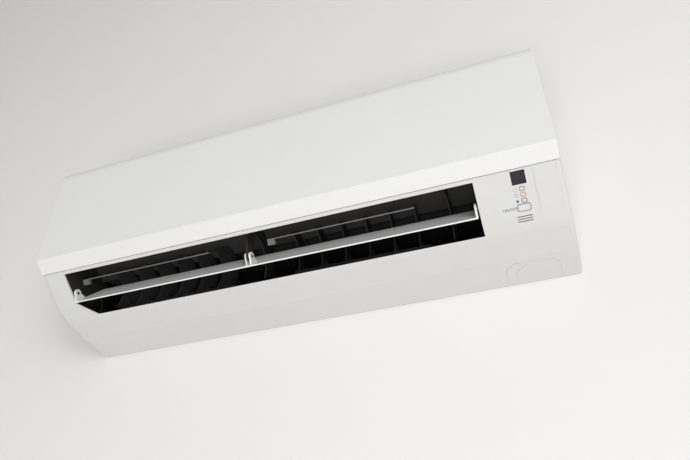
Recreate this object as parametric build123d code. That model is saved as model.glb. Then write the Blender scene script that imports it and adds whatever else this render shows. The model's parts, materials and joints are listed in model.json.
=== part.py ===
from build123d import *
import os
from math import atan2, cos, degrees, hypot, radians, sin

# Wall-hung indoor unit of a split air conditioner, in millimetres.
# X runs to the right as seen from the room, Y runs into the wall, Z is up.
# Heights below are measured from the lower rear edge, and the whole unit is then
# lowered so that the origin is the middle of the wall plate's back face.

# ---- the closed unit ----
BODY_WIDTH = 780.0
BODY_HEIGHT = 275.0
BODY_DEPTH = 199.6
PLATE_CENTRE_HEIGHT = 150.0
RUN_CLEARANCE = 0.06
FIT_GAP = 0.1
SLIP = 0.5

# ---- front panel ----
PANEL_WIDTH = 770.0
PANEL_WALL = 2.6
PANEL_FOOT_HEIGHT = 60.3
PANEL_FOOT_SETBACK = 19.8
PANEL_BEND_RISE = 14.6
PANEL_TOP_RADIUS = 24.0
PANEL_TOP_DROP = 18.8
PANEL_TOP_REACH = 29.1
PANEL_FLANGE = 9.0
PANEL_EDGE_RADIUS = 1.6
PANEL_PIVOT_SETBACK = 24.6
PANEL_PIVOT_DROP = 28.5
PANEL_PIN_RADIUS = 3.0
PANEL_LUG_RADIUS = 6.0
PANEL_ARM = 4.0
PANEL_ARM_INSET = 26.0

# ---- cover: the white shell around the works ----
COVER_WALL = 2.6
COVER_FRONT_WIDTH = 771.0
COVER_EDGE_RADIUS = 7.0
COVER_FRONT_SETBACK = 12.6
COVER_TOP_FRONT = 72.0
COVER_NECK_SETBACK = 36.1
COVER_NECK_DROP = 37.0
COVER_WINDOW_SILL = 106.0
COVER_WINDOW_DROP = 61.0
WINDOW_BARS = 3
BAR = 4.0
UNDERSIDE_FLAT = (-60.0, 5.0)
UNDERSIDE_SETBACKS = ((89.6, 13.8), (65.6, 24.0))
UNDERSIDE_BEND = 55.0
GRILLE_PITCH = 14.0
GRILLE_SLOT = 9.0
GRILLE_SLOT_LENGTH = 27.0
GRILLE_BAR = 6.0
GRILLE_ROWS = 3
GRILLE_MARGIN = 40.0
SCORE_WIDTH = 0.7
SCORE_DEPTH = 0.7

# ---- air outlet ----
MOUTH_LEFT_MARGIN = 42.5
CONTROL_BAY = 112.7
MOUTH_HEAD = 4.8
CORNER_CUT = 22.5
CORNER_CUT_FRONT = 22.0
LIP_SETBACK = 86.6
LIP_HEIGHT = 15.0
FLOOR_SLOPE = 36.0
FLOOR_START = 6.5
FLOOR_LENGTH = 47.0
SCROLL_LOWER_RADIUS = 115.0
SCROLL_LOWER_SWEEP = 44.0
SCROLL_UPPER_RADIUS = 68.0
SCROLL_UPPER_SWEEP = 70.0
DUCT_WALL = 2.0
SCROLL_WALL = 2.5
TONGUE_SETBACK = 75.6
TONGUE_HEIGHT = 113.0
STABILISER_GAP = 2.0
STABILISER_WALL = 2.6
STABILISER_END = 258.0

# ---- cross-flow fan ----
FAN_SETBACK = 119.6
FAN_HEIGHT = 138.0
FAN_RADIUS = 44.0
FAN_BLADES = 30
FAN_DISCS = 8
FAN_DISC = 2.0
FAN_BLADE = 1.3
FAN_BLADE_DEPTH = 12.0
FAN_BLADE_LEAN = 32.0
FAN_HUB_RADIUS = 12.0
FAN_HUB_LENGTH = 20.0
FAN_SHAFT_RADIUS = 4.0
FAN_END_GAP = 5.0

# ---- louver ----
LOUVER_SETBACK = 58.1
LOUVER_HEIGHT = 41.0
LOUVER_ANGLE = 48.2
LOUVER_OFFSET = 10.4
LOUVER_FRONT_REACH = 12.5
LOUVER_BACK_REACH = 36.0
LOUVER_BLADE = 2.0
LOUVER_SAG = 1.0
LOUVER_EAR = 2.6
LOUVER_EAR_RADIUS = 6.5
LOUVER_EAR_REACH = 13.0
LOUVER_PIN_RADIUS = 2.2
LOUVER_SIDE_GAP = 1.5
LOUVER_RIGHT_GAP = 2.5
MIDDLE_EAR_X = -46.2
MIDDLE_EAR_GAP = 1.1
SECOND_EAR_OFFSET = 7.6
SECOND_EAR = 1.6
BRACKET = 2.5

# ---- side vanes ----
VANE_PITCH = 35.8
VANES_PER_GROUP = 6
LEFT_VANE_START = -292.0
RIGHT_VANE_START = 9.5
LEFT_VANE_TURN = -25.0
RIGHT_VANE_TURN = 2.0
VANE_THICKNESS = 1.6
VANE_PIVOT_RUN = 40.0
VANE_LIFT = 3.6
VANE_SHOULDER = 54.0
VANE_HEAD = 60.0
VANE_ARM = 2.8
VANE_PIN_RADIUS = 2.0
VANE_FAN_GAP = 6.0
VANE_LOUVER_GAP = 4.0
LINK_BACK = 28.5
LINK_WIDTH = 6.0
LINK_THICKNESS = 1.6
LINK_PIN_RADIUS = 1.5
KNOB_LENGTH = 11.0
KNOB_HEIGHT = 9.0
LEFT_KNOB_OVERHANG = 36.5
RIGHT_KNOB_OVERHANG = 29.7
STRIP_WIDTH = 13.0
STRIP_THICKNESS = 3.0
MIDDLE_RIB_X = -44.0
FIXED_RIB_X = 236.0

# ---- heat exchanger ----
COIL_THICKNESS = 22.0
COIL_LEFT_MARGIN = 50.0
COIL_RIGHT_MARGIN = 102.0
COIL_FRONT_SETBACK = 22.1
COIL_FOOT = 94.0
COIL_LOWER_DROP = 106.0
COIL_UPPER_SETBACK = 28.6
COIL_UPPER_DROP = 93.0
COIL_UPPER_TILT = 56.0
COIL_UPPER_LENGTH = 92.0
COIL_REAR_SETBACK = 111.6
COIL_REAR_DROP = 13.0
COIL_REAR_TILT = -38.0
COIL_REAR_LENGTH = 76.0
TUBE_RADIUS = 3.5
TUBES_PER_ROW = 4
TUBE_DEPTHS = (6.0, 16.0)
TUBE_STUB = 3.0
END_PLATE = 1.0
END_PLATE_MARGIN = 2.0

# ---- air filters ----
FILTER_THICKNESS = 1.4
FILTER_FOOT = 103.0
FILTER_RAIL = 7.0
FILTER_RIB = 2.4
FILTER_COLUMNS = 5
FILTER_ROWS = 4
FILTER_MESH = 0.4
FILTER_BEND = 20.0
MESH_GAP = 0.05

# ---- rear chassis, pipes and wall plate ----
CHASSIS_WALL = 2.5
CHASSIS_SIDE_MARGIN = 12.0
CHASSIS_FOOT = 50.0
CHASSIS_TOP_DROP = 13.0
CHASSIS_RIM = 8.0
SIDE_WALL = 3.0
PLATE_WIDTH = 560.0
PLATE_HEIGHT = 190.0
PLATE_THICKNESS = 1.2
PLATE_SCREW_RADIUS = 2.75
PLATE_SCREW_SPACING_X = 450.0
PLATE_SCREW_SPACING_Z = 120.0
HOOK_X = 180.0
HOOK_WIDTH = 24.0
HOOK_DROP = 47.0
LIQUID_PIPE_RADIUS = 3.175
GAS_PIPE_RADIUS = 4.76
LIQUID_UNION_RADIUS = 5.56
GAS_UNION_RADIUS = 7.94
UNION_LENGTH = 16.0
UNION_NUT = 6.0
UNION_SETBACK = 2.0
PIPE_BEND = 12.0
PIPE_SETBACK = 38.0
LIQUID_PIPE_MARGIN = 24.0
GAS_PIPE_MARGIN = 40.0
LIQUID_PIPE_FOOT = 19.0
GAS_PIPE_FOOT = 35.0
LIQUID_UNION_X = 100.0
GAS_UNION_X = 60.0

# ---- drain pan ----
PAN_WALL = 2.0
PAN_LEFT_MARGIN = 30.0
PAN_RIGHT_MARGIN = 84.0
PAN_FRONT_HEIGHT = 100.0
PAN_BACK_HEIGHT = 112.0
DRAIN_RADIUS = 8.0
DRAIN_WALL = 1.6
DRAIN_LENGTH = 18.0
DRAIN_PLUG_LENGTH = 12.0

# ---- electrics ----
MOTOR_RADIUS = 38.0
MOTOR_LENGTH = 52.0
MOTOR_BAND = 3.0
MOTOR_BAND_WIDTH = 32.0
LOUVER_MOTOR_RADIUS = 12.0
LOUVER_MOTOR_LENGTH = 16.0
LOUVER_MOTOR_OFFSET = 7.0
BOX_LEFT_MARGIN = 82.0
BOX_RIGHT_MARGIN = 12.0
BOX_FRONT_SETBACK = 17.6
BOX_BACK_SETBACK = 75.6
BOX_FOOT = 96.0
BOX_TOP_DROP = 40.0
BOX_WALL = 1.8
BOARD = 1.6
BOARD_DEPTH = 8.0
WINDOW_SIZE = 17.8
LAMP_WIDTH = 5.4
LAMP_LENGTH = 4.6
LAMP_PITCH = 7.7
LENS_GAP = 0.15
LENS_FLANGE = 1.2
BUTTON_WIDTH = 15.0
BUTTON_LENGTH = 8.0
BUTTON_GAP = 0.35
BUTTON_PROUD = 0.6
BUTTON_TRAVEL = 1.2
SPEAKER_SLOT = 1.3
SPEAKER_LENGTH = 19.0
SPEAKER_PITCH = 3.5
SCREW_RADIUS = 1.9
SCREW_HEAD_RADIUS = 3.6
SCREW_LENGTH = 9.0

# ---- places worked out from the sizes above ----
HALF = BODY_WIDTH / 2
FRONT = -BODY_DEPTH
PANEL_HALF = PANEL_WIDTH / 2
PANEL_FOOT = (FRONT + PANEL_FOOT_SETBACK, PANEL_FOOT_HEIGHT)
PANEL_BEND = (FRONT, PANEL_FOOT_HEIGHT + PANEL_BEND_RISE)
PANEL_TOP = BODY_HEIGHT - PANEL_TOP_DROP
PANEL_PIVOT = (FRONT + PANEL_PIVOT_SETBACK, BODY_HEIGHT - PANEL_PIVOT_DROP)
PANEL_ARM_X = PANEL_HALF - PANEL_ARM_INSET
COVER_FRONT = FRONT + COVER_FRONT_SETBACK
NECK = (FRONT + COVER_NECK_SETBACK, BODY_HEIGHT - COVER_NECK_DROP)
MOUTH_LEFT = -HALF + MOUTH_LEFT_MARGIN
MOUTH_RIGHT = HALF - CONTROL_BAY
FLOOR = (cos(radians(FLOOR_SLOPE)), sin(radians(FLOOR_SLOPE)))
UPRIGHT = (-FLOOR[1], FLOOR[0])
FAN = (FRONT + FAN_SETBACK, FAN_HEIGHT)
LOUVER = (FRONT + LOUVER_SETBACK, LOUVER_HEIGHT)
LIP = (FRONT + LIP_SETBACK, LIP_HEIGHT)
TONGUE = (FRONT + TONGUE_SETBACK, TONGUE_HEIGHT)
UNDERSIDE = (UNDERSIDE_FLAT, *[(FRONT + setback, z) for setback, z in UNDERSIDE_SETBACKS])
COVER_WINDOW_HEAD = BODY_HEIGHT - COVER_WINDOW_DROP
COIL_LEFT = -HALF + COIL_LEFT_MARGIN
COIL_RIGHT = HALF - COIL_RIGHT_MARGIN
COIL_LOWER_LENGTH = BODY_HEIGHT - COIL_LOWER_DROP - COIL_FOOT
COIL_UPPER_FOOT = BODY_HEIGHT - COIL_UPPER_DROP
COIL_REAR_HEAD = BODY_HEIGHT - COIL_REAR_DROP
CHASSIS_HALF_WIDTH = HALF - CHASSIS_SIDE_MARGIN
CHASSIS_HEAD = BODY_HEIGHT - CHASSIS_TOP_DROP
LIQUID_PIPE_X = HALF - LIQUID_PIPE_MARGIN
GAS_PIPE_X = HALF - GAS_PIPE_MARGIN
PAN_LEFT = -HALF + PAN_LEFT_MARGIN
PAN_RIGHT = HALF - PAN_RIGHT_MARGIN
BOX_LEFT = HALF - BOX_LEFT_MARGIN
BOX_RIGHT = HALF - BOX_RIGHT_MARGIN
BOX_FRONT = FRONT + BOX_FRONT_SETBACK
BOX_BACK = FRONT + BOX_BACK_SETBACK
BOX_HEAD = BODY_HEIGHT - BOX_TOP_DROP
DUCT_LEFT = MOUTH_LEFT - SLIP
DUCT_RIGHT = MOUTH_RIGHT + SLIP
CASE_LEFT = DUCT_LEFT - DUCT_WALL - SLIP - SIDE_WALL
CASE_RIGHT = DUCT_RIGHT + DUCT_WALL + SLIP + SIDE_WALL
FAN_LEFT = CASE_LEFT + SIDE_WALL + FAN_END_GAP
FAN_RIGHT = CASE_RIGHT - SIDE_WALL - FAN_END_GAP
LOUVER_LEFT = MOUTH_LEFT + LOUVER_SIDE_GAP
LOUVER_RIGHT = MOUTH_RIGHT - LOUVER_RIGHT_GAP
MOTOR_LEFT = CASE_RIGHT + 5.0
NUT_FRONT = -UNION_SETBACK - UNION_LENGTH - UNION_NUT
CONTROL_X = HALF - 57.6
WINDOW_RUN = 11.0
LAMP_RUN = 25.6
LAMP_X = HALF - 55.8
BUTTON_X = HALF - 57.5
BUTTON_RUN = 50.0
SPEAKER_X = HALF - 59.2
SPEAKER_RUN = 62.0
SEAM_X = HALF - 38.8
SEAM_RUN = 40.0


def along(start, direction, length):
    """Point at a distance from start in the side plane."""
    return (start[0] + direction[0] * length, start[1] + direction[1] * length)


def heading(angle):
    """Unit direction in the side plane, in degrees from +Y towards +Z."""
    return (cos(radians(angle)), sin(radians(angle)))


def section(points):
    """Flat face in the side plane from its corners."""
    return make_face(Polyline(*points, close=True))


def between(face, x_low, x_high):
    """Side-plane face carried from x_low to x_high."""
    return extrude(Plane.YZ.offset(x_low) * face, x_high - x_low, dir=(1, 0, 0))


def prism(points, x_low, x_high):
    return between(section(points), x_low, x_high)


def block(x_low, x_high, y_low, y_high, z_low, z_high):
    middle = ((x_low + x_high) / 2, (y_low + y_high) / 2, (z_low + z_high) / 2)
    return Pos(*middle) * Box(x_high - x_low, y_high - y_low, z_high - z_low)


def rod_x(centre, radius, x_low, x_high):
    """Round bar parallel to X."""
    bar = Cylinder(radius, x_high - x_low, align=(Align.CENTER, Align.CENTER, Align.MIN))
    return Pos(x_low, centre[0], centre[1]) * Rot(0, 90, 0) * bar


def parallel_path(path, gap):
    """Points of a path that runs gap to the left of the given one."""
    runs = []
    for (y0, z0), (y1, z1) in zip(path, path[1:]):
        length = hypot(y1 - y0, z1 - z0)
        runs.append(((y1 - y0) / length, (z1 - z0) / length))
    moved = [along(path[0], (-runs[0][1], runs[0][0]), gap)]
    for point, first, second in zip(path[1:-1], runs, runs[1:]):
        share = gap / (1 + first[0] * second[0] + first[1] * second[1])
        moved.append(along(point, (-first[1] - second[1], first[0] + second[0]), share))
    moved.append(along(path[-1], (-runs[-1][1], runs[-1][0]), gap))
    return moved


def rounded(face, corners):
    """Face with some of its corners rounded, given as (point, radius)."""
    for point, radius in corners:
        nearest = face.vertices().sort_by_distance((point[0], point[1], 0))[0]
        face = fillet(nearest, radius)
    return face


def sheet(path, thickness, x_low, x_high, bends=None):
    """Bent sheet: a path given a thickness to its left, carried along X."""
    other = parallel_path(path, thickness)
    face = section(list(path) + list(reversed(other)))
    corners = []
    for index, inside in (bends or {}).items():
        before, here, after = path[index - 1:index + 2]
        turn = (here[0] - before[0]) * (after[1] - here[1])
        turn -= (here[1] - before[1]) * (after[0] - here[0])
        other_is_inside = (turn > 0) == (thickness > 0)
        outside = inside + abs(thickness)
        corners.append((here, outside if other_is_inside else inside))
        corners.append((other[index], inside if other_is_inside else outside))
    return between(rounded(face, corners), x_low, x_high)


def on_floor(run, lift):
    """Point in the side plane at a run up the duct floor and a lift off it."""
    return along(along(LIP, FLOOR, run), UPRIGHT, lift)


def laid(x, run, lift, shape):
    """Shape set on the duct floor: its Y runs up the floor and its Z stands off it."""
    y, z = on_floor(run, lift)
    floor = Plane(origin=(x, y, z), x_dir=(1, 0, 0), z_dir=(0, UPRIGHT[0], UPRIGHT[1]))
    return floor * shape


def group(pieces):
    """Separate solids that share one node."""
    return Compound([piece.solid() for piece in pieces])


# ---- cover ----
def split_point():
    """Upper edge of the cover's lower face, where the panel's foot ends."""
    return (PANEL_FOOT[0] + 0.5, PANEL_FOOT[1] - 1.1)


def lower_face_direction():
    knee = UNDERSIDE[-1]
    top = split_point()
    length = hypot(top[0] - knee[0], top[1] - knee[1])
    return ((knee[0] - top[0]) / length, (knee[1] - top[1]) / length)


def cover_outline(inset):
    """Outer line of the cover, or its inner line at an inset, from the wall round to the wall."""
    down = lower_face_direction()
    top = split_point()
    reach = (top[0] - COVER_FRONT) / down[0]
    chin = along(top, down, -reach)
    path = [(0.0, 0.0), *UNDERSIDE, chin]
    path.append((COVER_FRONT, NECK[1] - 2.0))
    path.append((NECK[0], PANEL_TOP))
    path.append((FRONT + COVER_TOP_FRONT, BODY_HEIGHT))
    path.append((0.0, BODY_HEIGHT))
    return parallel_path(path, -inset) if inset else path


def cover_blank(inset, rear_half, front_half, edge_radius):
    """Solid shape of the cover with leaning ends and rounded end edges."""
    path = cover_outline(inset)
    bends = [(path[2], UNDERSIDE_BEND), (path[3], UNDERSIDE_BEND)]
    blank = between(rounded(section(path), bends), -rear_half - 9, rear_half + 9)
    lean = (rear_half - front_half) / BODY_DEPTH
    near, far = FRONT - 20.0, 20.0
    plan = Polyline(
        (-front_half + lean * 20.0, near),
        (front_half - lean * 20.0, near),
        (rear_half + lean * far, far),
        (-rear_half - lean * far, far),
        close=True,
    )
    blank = blank & extrude(Pos(0, 0, -10) * make_face(plan), BODY_HEIGHT + 20)
    ends = blank.faces().sort_by(Axis.X)
    edges = ends[0].edges() + ends[-1].edges()
    edges = edges.filter_by(lambda edge: edge.center().Y < -1.0)
    return fillet(edges, edge_radius)


def mouth_cutter():
    """Space cut through the cover for the air outlet, with its lower left corner cut off."""
    down = lower_face_direction()
    head = along(split_point(), down, MOUTH_HEAD)
    inward = (-down[1], down[0])
    points = [along(head, inward, -12), along(head, inward, 12)]
    points += [along(LIP, FLOOR, 14), LIP, along(LIP, inward, -14)]
    cutter = prism(points, MOUTH_LEFT, MOUTH_RIGHT)
    slope = CORNER_CUT / CORNER_CUT_FRONT
    corner = Polyline(
        (MOUTH_LEFT, LIP[0] - CORNER_CUT_FRONT),
        (MOUTH_LEFT + CORNER_CUT + slope * 20, LIP[0] + 20),
        (MOUTH_LEFT, LIP[0] + 20),
        close=True,
    )
    return cutter - extrude(make_face(corner), BODY_HEIGHT)


def control_plane():
    """Plane on the cover's lower face: X to the right, Y up the face, Z out of it."""
    down = lower_face_direction()
    top = split_point()
    return Plane(origin=(0, top[0], top[1]), x_dir=(1, 0, 0), z_dir=(0, down[1], -down[0]))


def on_controls(x, run, depth, shape):
    """Shape placed on the control face at a run below its upper edge, sunk by a depth."""
    return control_plane() * Pos(x, -run, -depth) * shape


def lamp_runs():
    return [LAMP_RUN + LAMP_PITCH * index for index in range(3)]


def rounded_plate(width, length, thickness, radius):
    """Small plate with rounded corners, its outer face at Z = 0."""
    return extrude(RectangleRounded(width, length, radius), -thickness)


def control_openings():
    """Holes through the cover for window, lamps, button and speaker."""
    deep = COVER_WALL + 6
    window = rounded_plate(WINDOW_SIZE, WINDOW_SIZE, deep, 0.8)
    cutters = [on_controls(CONTROL_X, WINDOW_RUN, -1, window)]
    for run in lamp_runs():
        lamp = rounded_plate(LAMP_WIDTH, LAMP_LENGTH, deep, 1.6)
        cutters.append(on_controls(LAMP_X, run, -1, lamp))
    hole = rounded_plate(BUTTON_WIDTH + 2 * BUTTON_GAP, BUTTON_LENGTH + 2 * BUTTON_GAP, deep, 2.0)
    cutters.append(on_controls(BUTTON_X, BUTTON_RUN, -1, hole))
    for index in range(3):
        slot = rounded_plate(SPEAKER_LENGTH, SPEAKER_SLOT, deep + 8, SPEAKER_SLOT / 2 - 0.02)
        cutters.append(on_controls(SPEAKER_X, SPEAKER_RUN + SPEAKER_PITCH * index, -4, slot))
    return cutters


def seam_cutter():
    """Shallow line beside the controls."""
    return on_controls(SEAM_X, SEAM_RUN, SCORE_DEPTH - 2.0, Box(SCORE_WIDTH, 76.0, 4.0))


def knockout_scores():
    """Thin places in the underside that break out for side piping."""
    outer = [(HALF - 27, 3), (HALF - 27, -37), (HALF - 36.5, -47), (HALF - 87, -50)]
    outer += [(HALF - 99, -36), (HALF - 99, 3)]
    inner = [(HALF - 85, 3), (HALF - 85, -31), (HALF - 71, -43)]
    slope = UNDERSIDE[0][1] / UNDERSIDE[0][0]
    skin = [(4, -6), (4, SCORE_DEPTH + 4 * slope), (-58, SCORE_DEPTH - 58 * slope), (-58, -6)]
    zone = prism(skin, 0, HALF)
    grooves = []
    for route in (outer, inner):
        for (x0, y0), (x1, y1) in zip(route, route[1:]):
            length = hypot(x1 - x0, y1 - y0)
            turn = degrees(atan2(y1 - y0, x1 - x0))
            line = Rot(0, 0, turn) * Box(length + SCORE_WIDTH, SCORE_WIDTH, 30)
            grooves.append(Pos((x0 + x1) / 2, (y0 + y1) / 2, 0) * line & zone)
    return grooves


def grille_slots():
    """Air intake slots of the top."""
    count = int((BODY_WIDTH - 2 * GRILLE_MARGIN) / GRILLE_PITCH)
    row_pitch = GRILLE_SLOT_LENGTH + GRILLE_BAR
    front_edge = FRONT + COVER_TOP_FRONT + 8.0
    middle = front_edge + (GRILLE_ROWS * row_pitch - GRILLE_BAR) / 2
    slots = GridLocations(GRILLE_PITCH, row_pitch, count, GRILLE_ROWS)
    slot = Box(GRILLE_SLOT, GRILLE_SLOT_LENGTH, 4 * COVER_WALL)
    return [Pos(0, middle, BODY_HEIGHT) * cutter for cutter in slots * slot]


def filter_spans():
    """Left and right ends of the two filter openings."""
    post = (MOUTH_LEFT + MOUTH_RIGHT) / 2
    return [(MOUTH_LEFT + 4, post - 5), (post + 5, MOUTH_RIGHT - 2)]


def front_windows():
    """Openings behind the panel that the filters cover."""
    cutters = []
    height = (COVER_WINDOW_HEAD - COVER_WINDOW_SILL - BAR * (WINDOW_BARS - 1)) / WINDOW_BARS
    for low, high in filter_spans():
        for index in range(WINDOW_BARS):
            sill = COVER_WINDOW_SILL + index * (height + BAR)
            cutters.append(block(low, high, COVER_FRONT - 5, COVER_FRONT + 8, sill, sill + height))
    return cutters


def panel_lug(side):
    """Ear on the cover that carries one pin of the front panel."""
    x_inner = side * (PANEL_ARM_X - PANEL_ARM / 2 - 0.6)
    x_outer = x_inner - side * PANEL_ARM
    low, high = min(x_inner, x_outer), max(x_inner, x_outer)
    y, z = PANEL_PIVOT
    reach = PANEL_LUG_RADIUS
    web = block(low, high, y - reach, y + reach, NECK[1] - COVER_WALL / 2, z)
    return web + rod_x(PANEL_PIVOT, reach, low, high)


def board_posts():
    """Posts inside the cover that the display board rests on."""
    post = Cylinder(2.4, BOARD_DEPTH - COVER_WALL + 1)
    depth = (BOARD_DEPTH + COVER_WALL - 1) / 2
    places = [(CONTROL_X - 12.5, 26), (CONTROL_X + 13.5, 26), (CONTROL_X - 12.5, 56)]
    return [on_controls(x, run, depth, post) for x, run in places]


def front_cover():
    rear_half = HALF
    front_half = COVER_FRONT_WIDTH / 2
    outer = cover_blank(0.0, rear_half, front_half, COVER_EDGE_RADIUS)
    inner_radius = COVER_EDGE_RADIUS - COVER_WALL
    inner = cover_blank(COVER_WALL, rear_half - COVER_WALL, front_half - COVER_WALL, inner_radius)
    foot = parallel_path([PANEL_BEND, PANEL_FOOT], PANEL_WALL + 1.3)
    top = split_point()
    rise = (-1, 0.737)
    step = [(COVER_FRONT - 30, top[1]), top, foot[1], along(foot[1], rise, 40)]
    notch = prism(step, -HALF - 5, HALF + 5)
    neck = block(-HALF - 5, HALF + 5, COVER_FRONT - 20, NECK[0], NECK[1], BODY_HEIGHT)
    shelf_back = NECK[0] + COVER_WALL
    shelf = block(-HALF - 5, HALF + 5, COVER_FRONT, shelf_back, NECK[1] - COVER_WALL, BODY_HEIGHT)
    chin = along(foot[1], rise, (foot[1][0] - COVER_FRONT) + 3)
    ramp = sheet([along(top, (0.3, 0.2), 4), foot[1], chin], -COVER_WALL, -HALF, HALF)
    inner = inner - shelf - (ramp & inner)
    body = outer - inner
    body = body - notch - neck
    body = body - mouth_cutter()
    body = body - front_windows() - grille_slots()
    for side in (-1, 1):
        body = body + panel_lug(side)
    body = body + board_posts()
    body = body - control_openings() - seam_cutter() - knockout_scores()
    return body - rod_x(PANEL_PIVOT, PANEL_PIN_RADIUS + RUN_CLEARANCE, -HALF, HALF)


# ---- front panel ----
def panel_arm(side):
    """Arm under the panel's top with the pin that turns in the cover."""
    y, z = PANEL_PIVOT
    low = side * PANEL_ARM_X - PANEL_ARM / 2
    high = side * PANEL_ARM_X + PANEL_ARM / 2
    reach = PANEL_LUG_RADIUS
    arm = block(low, high, y - reach, y + reach, z, PANEL_TOP - 1.3)
    arm = arm + rod_x(PANEL_PIVOT, reach, low, high)
    tip = side * (PANEL_ARM_X - PANEL_ARM / 2 - 0.6 - PANEL_ARM)
    pin = rod_x(PANEL_PIVOT, PANEL_PIN_RADIUS, min(tip, side * PANEL_ARM_X), max(tip, side * PANEL_ARM_X))
    return arm + pin


def panel_section(path, thickness, flange):
    """Face of the panel's side profile: the skin, or the skin filled back to a flange."""
    inner = parallel_path(path, thickness)
    if flange:
        inner = parallel_path(path, flange)
    face = section(list(path) + list(reversed(inner)))
    corner = (FRONT, PANEL_TOP)
    depth = flange or thickness
    corners = [(corner, PANEL_TOP_RADIUS), (inner[1], PANEL_TOP_RADIUS - depth)]
    return rounded(face, corners)


def front_panel():
    top_end = (FRONT + PANEL_TOP_REACH, PANEL_TOP)
    path = [top_end, (FRONT, PANEL_TOP), PANEL_BEND, PANEL_FOOT]
    skin = between(panel_section(path, PANEL_WALL, 0), -PANEL_HALF, PANEL_HALF)
    side_face = panel_section(path, PANEL_WALL, PANEL_FLANGE)
    keep = block(-HALF, HALF, FRONT - 5, COVER_FRONT - 1.2, PANEL_BEND[1] + 2, PANEL_TOP + 5)
    keep_top = block(-HALF, HALF, FRONT - 5, 0, NECK[1] + 1.2, PANEL_TOP + 5)
    flanges = between(side_face, -PANEL_HALF, -PANEL_HALF + PANEL_WALL)
    flanges = flanges + between(side_face, PANEL_HALF - PANEL_WALL, PANEL_HALF)
    body = skin + (flanges & (keep + keep_top))
    ends = body.faces().filter_by(Axis.X).sort_by(Axis.X)
    edges = ends[0].edges() + ends[-1].edges()
    outside = [edge for edge in edges if on_panel_skin(edge)]
    body = fillet(outside, PANEL_EDGE_RADIUS)
    for side in (-1, 1):
        body = body + panel_arm(side)
    return body


def on_panel_skin(edge):
    """Whether an edge of the panel's end lies on its outer line."""
    middle = edge @ 0.5
    if abs(middle.Y - FRONT) < 0.2:
        return True
    corner = (FRONT + PANEL_TOP_RADIUS, PANEL_TOP - PANEL_TOP_RADIUS)
    radius = hypot(middle.Y - corner[0], middle.Z - corner[1])
    return abs(radius - PANEL_TOP_RADIUS) < 0.2


# ---- air filters ----
def filter_path():
    """Line of the filter from its foot up and over the coil."""
    y = COVER_FRONT + COVER_WALL + 0.4
    return [(y, FILTER_FOOT), (y, 212.0), (y + 34.0, 240.0), (y + 62.0, 263.0)]


def filter_frame(span):
    """Frame of one filter with its ribs."""
    low, high = span[0] - 3, span[1] + 3
    path = filter_path()
    body = sheet(path, -FILTER_THICKNESS, low, high, {1: FILTER_BEND})
    wide = (high - low - 2 * FILTER_RAIL - FILTER_RIB * (FILTER_COLUMNS - 1)) / FILTER_COLUMNS
    tall = (path[1][1] - path[0][1] - 2 * FILTER_RAIL - FILTER_RIB * (FILTER_ROWS - 1)) / FILTER_ROWS
    holes = []
    for column in range(FILTER_COLUMNS):
        x = low + FILTER_RAIL + column * (wide + FILTER_RIB)
        for row in range(FILTER_ROWS):
            z = path[0][1] + FILTER_RAIL + row * (tall + FILTER_RIB)
            holes.append(block(x, x + wide, COVER_FRONT, COVER_FRONT + 12, z, z + tall))
        start = along(path[1], heading(39.0), 12.0)
        end = along(path[3], heading(39.0), -FILTER_RAIL)
        upper = [along(start, heading(129.0), 4), along(end, heading(129.0), 4)]
        upper += [along(end, heading(129.0), -4), along(start, heading(129.0), -4)]
        holes.append(prism(upper, x, x + wide))
    return body - holes


def filter_mesh(span):
    """Fine net behind the frame's ribs."""
    low, high = span[0] - 1, span[1] + 1
    path = parallel_path(filter_path(), -FILTER_THICKNESS - MESH_GAP)
    path[0] = (path[0][0], path[0][1] + 3)
    path[-1] = along(path[-1], heading(39.4), -3)
    return sheet(path, -FILTER_MESH, low, high, {1: FILTER_BEND - MESH_GAP - FILTER_MESH})


# ---- heat exchanger ----
def coil_slabs():
    """Outer lower or front corner, slope and length of each slab of the coil."""
    lower = ((FRONT + COIL_FRONT_SETBACK, COIL_FOOT), 90.0, COIL_LOWER_LENGTH)
    upper = ((FRONT + COIL_UPPER_SETBACK, COIL_UPPER_FOOT), COIL_UPPER_TILT, COIL_UPPER_LENGTH)
    rear = ((FRONT + COIL_REAR_SETBACK, COIL_REAR_HEAD), COIL_REAR_TILT, COIL_REAR_LENGTH)
    return [lower, upper, rear]


def slab_point(slab, run, depth):
    start, angle, _ = slab
    return along(along(start, heading(angle), run), heading(angle - 90.0), depth)


def slab_section(slab, margin):
    """Outline of one slab, grown by a margin all round."""
    length = slab[2]
    low, high = -margin, COIL_THICKNESS + margin
    corners = [slab_point(slab, -margin, low), slab_point(slab, length + margin, low)]
    corners += [slab_point(slab, length + margin, high), slab_point(slab, -margin, high)]
    return corners


def row_centres(slab, depth):
    pitch = slab[2] / TUBES_PER_ROW
    return [slab_point(slab, pitch * (index + 0.5), depth) for index in range(TUBES_PER_ROW)]


def tube_holes(slab, x_low, x_high):
    holes = []
    for depth in TUBE_DEPTHS:
        for centre in row_centres(slab, depth):
            holes.append(rod_x(centre, TUBE_RADIUS + FIT_GAP / 2, x_low - 1, x_high + 1))
    return holes


def fin_stack(index):
    """One slab of fins, pierced for its tubes."""
    slab = coil_slabs()[index]
    return prism(slab_section(slab, 0), COIL_LEFT, COIL_RIGHT) - tube_holes(slab, COIL_LEFT, COIL_RIGHT)


def end_plate(x_low):
    """Sheet at one end of the coil that ties the slabs together."""
    body = None
    for slab in coil_slabs():
        piece = prism(slab_section(slab, END_PLATE_MARGIN), x_low, x_low + END_PLATE)
        body = piece if body is None else body + piece
    for slab in coil_slabs():
        body = body - tube_holes(slab, x_low, x_low + END_PLATE)
    return body


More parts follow.
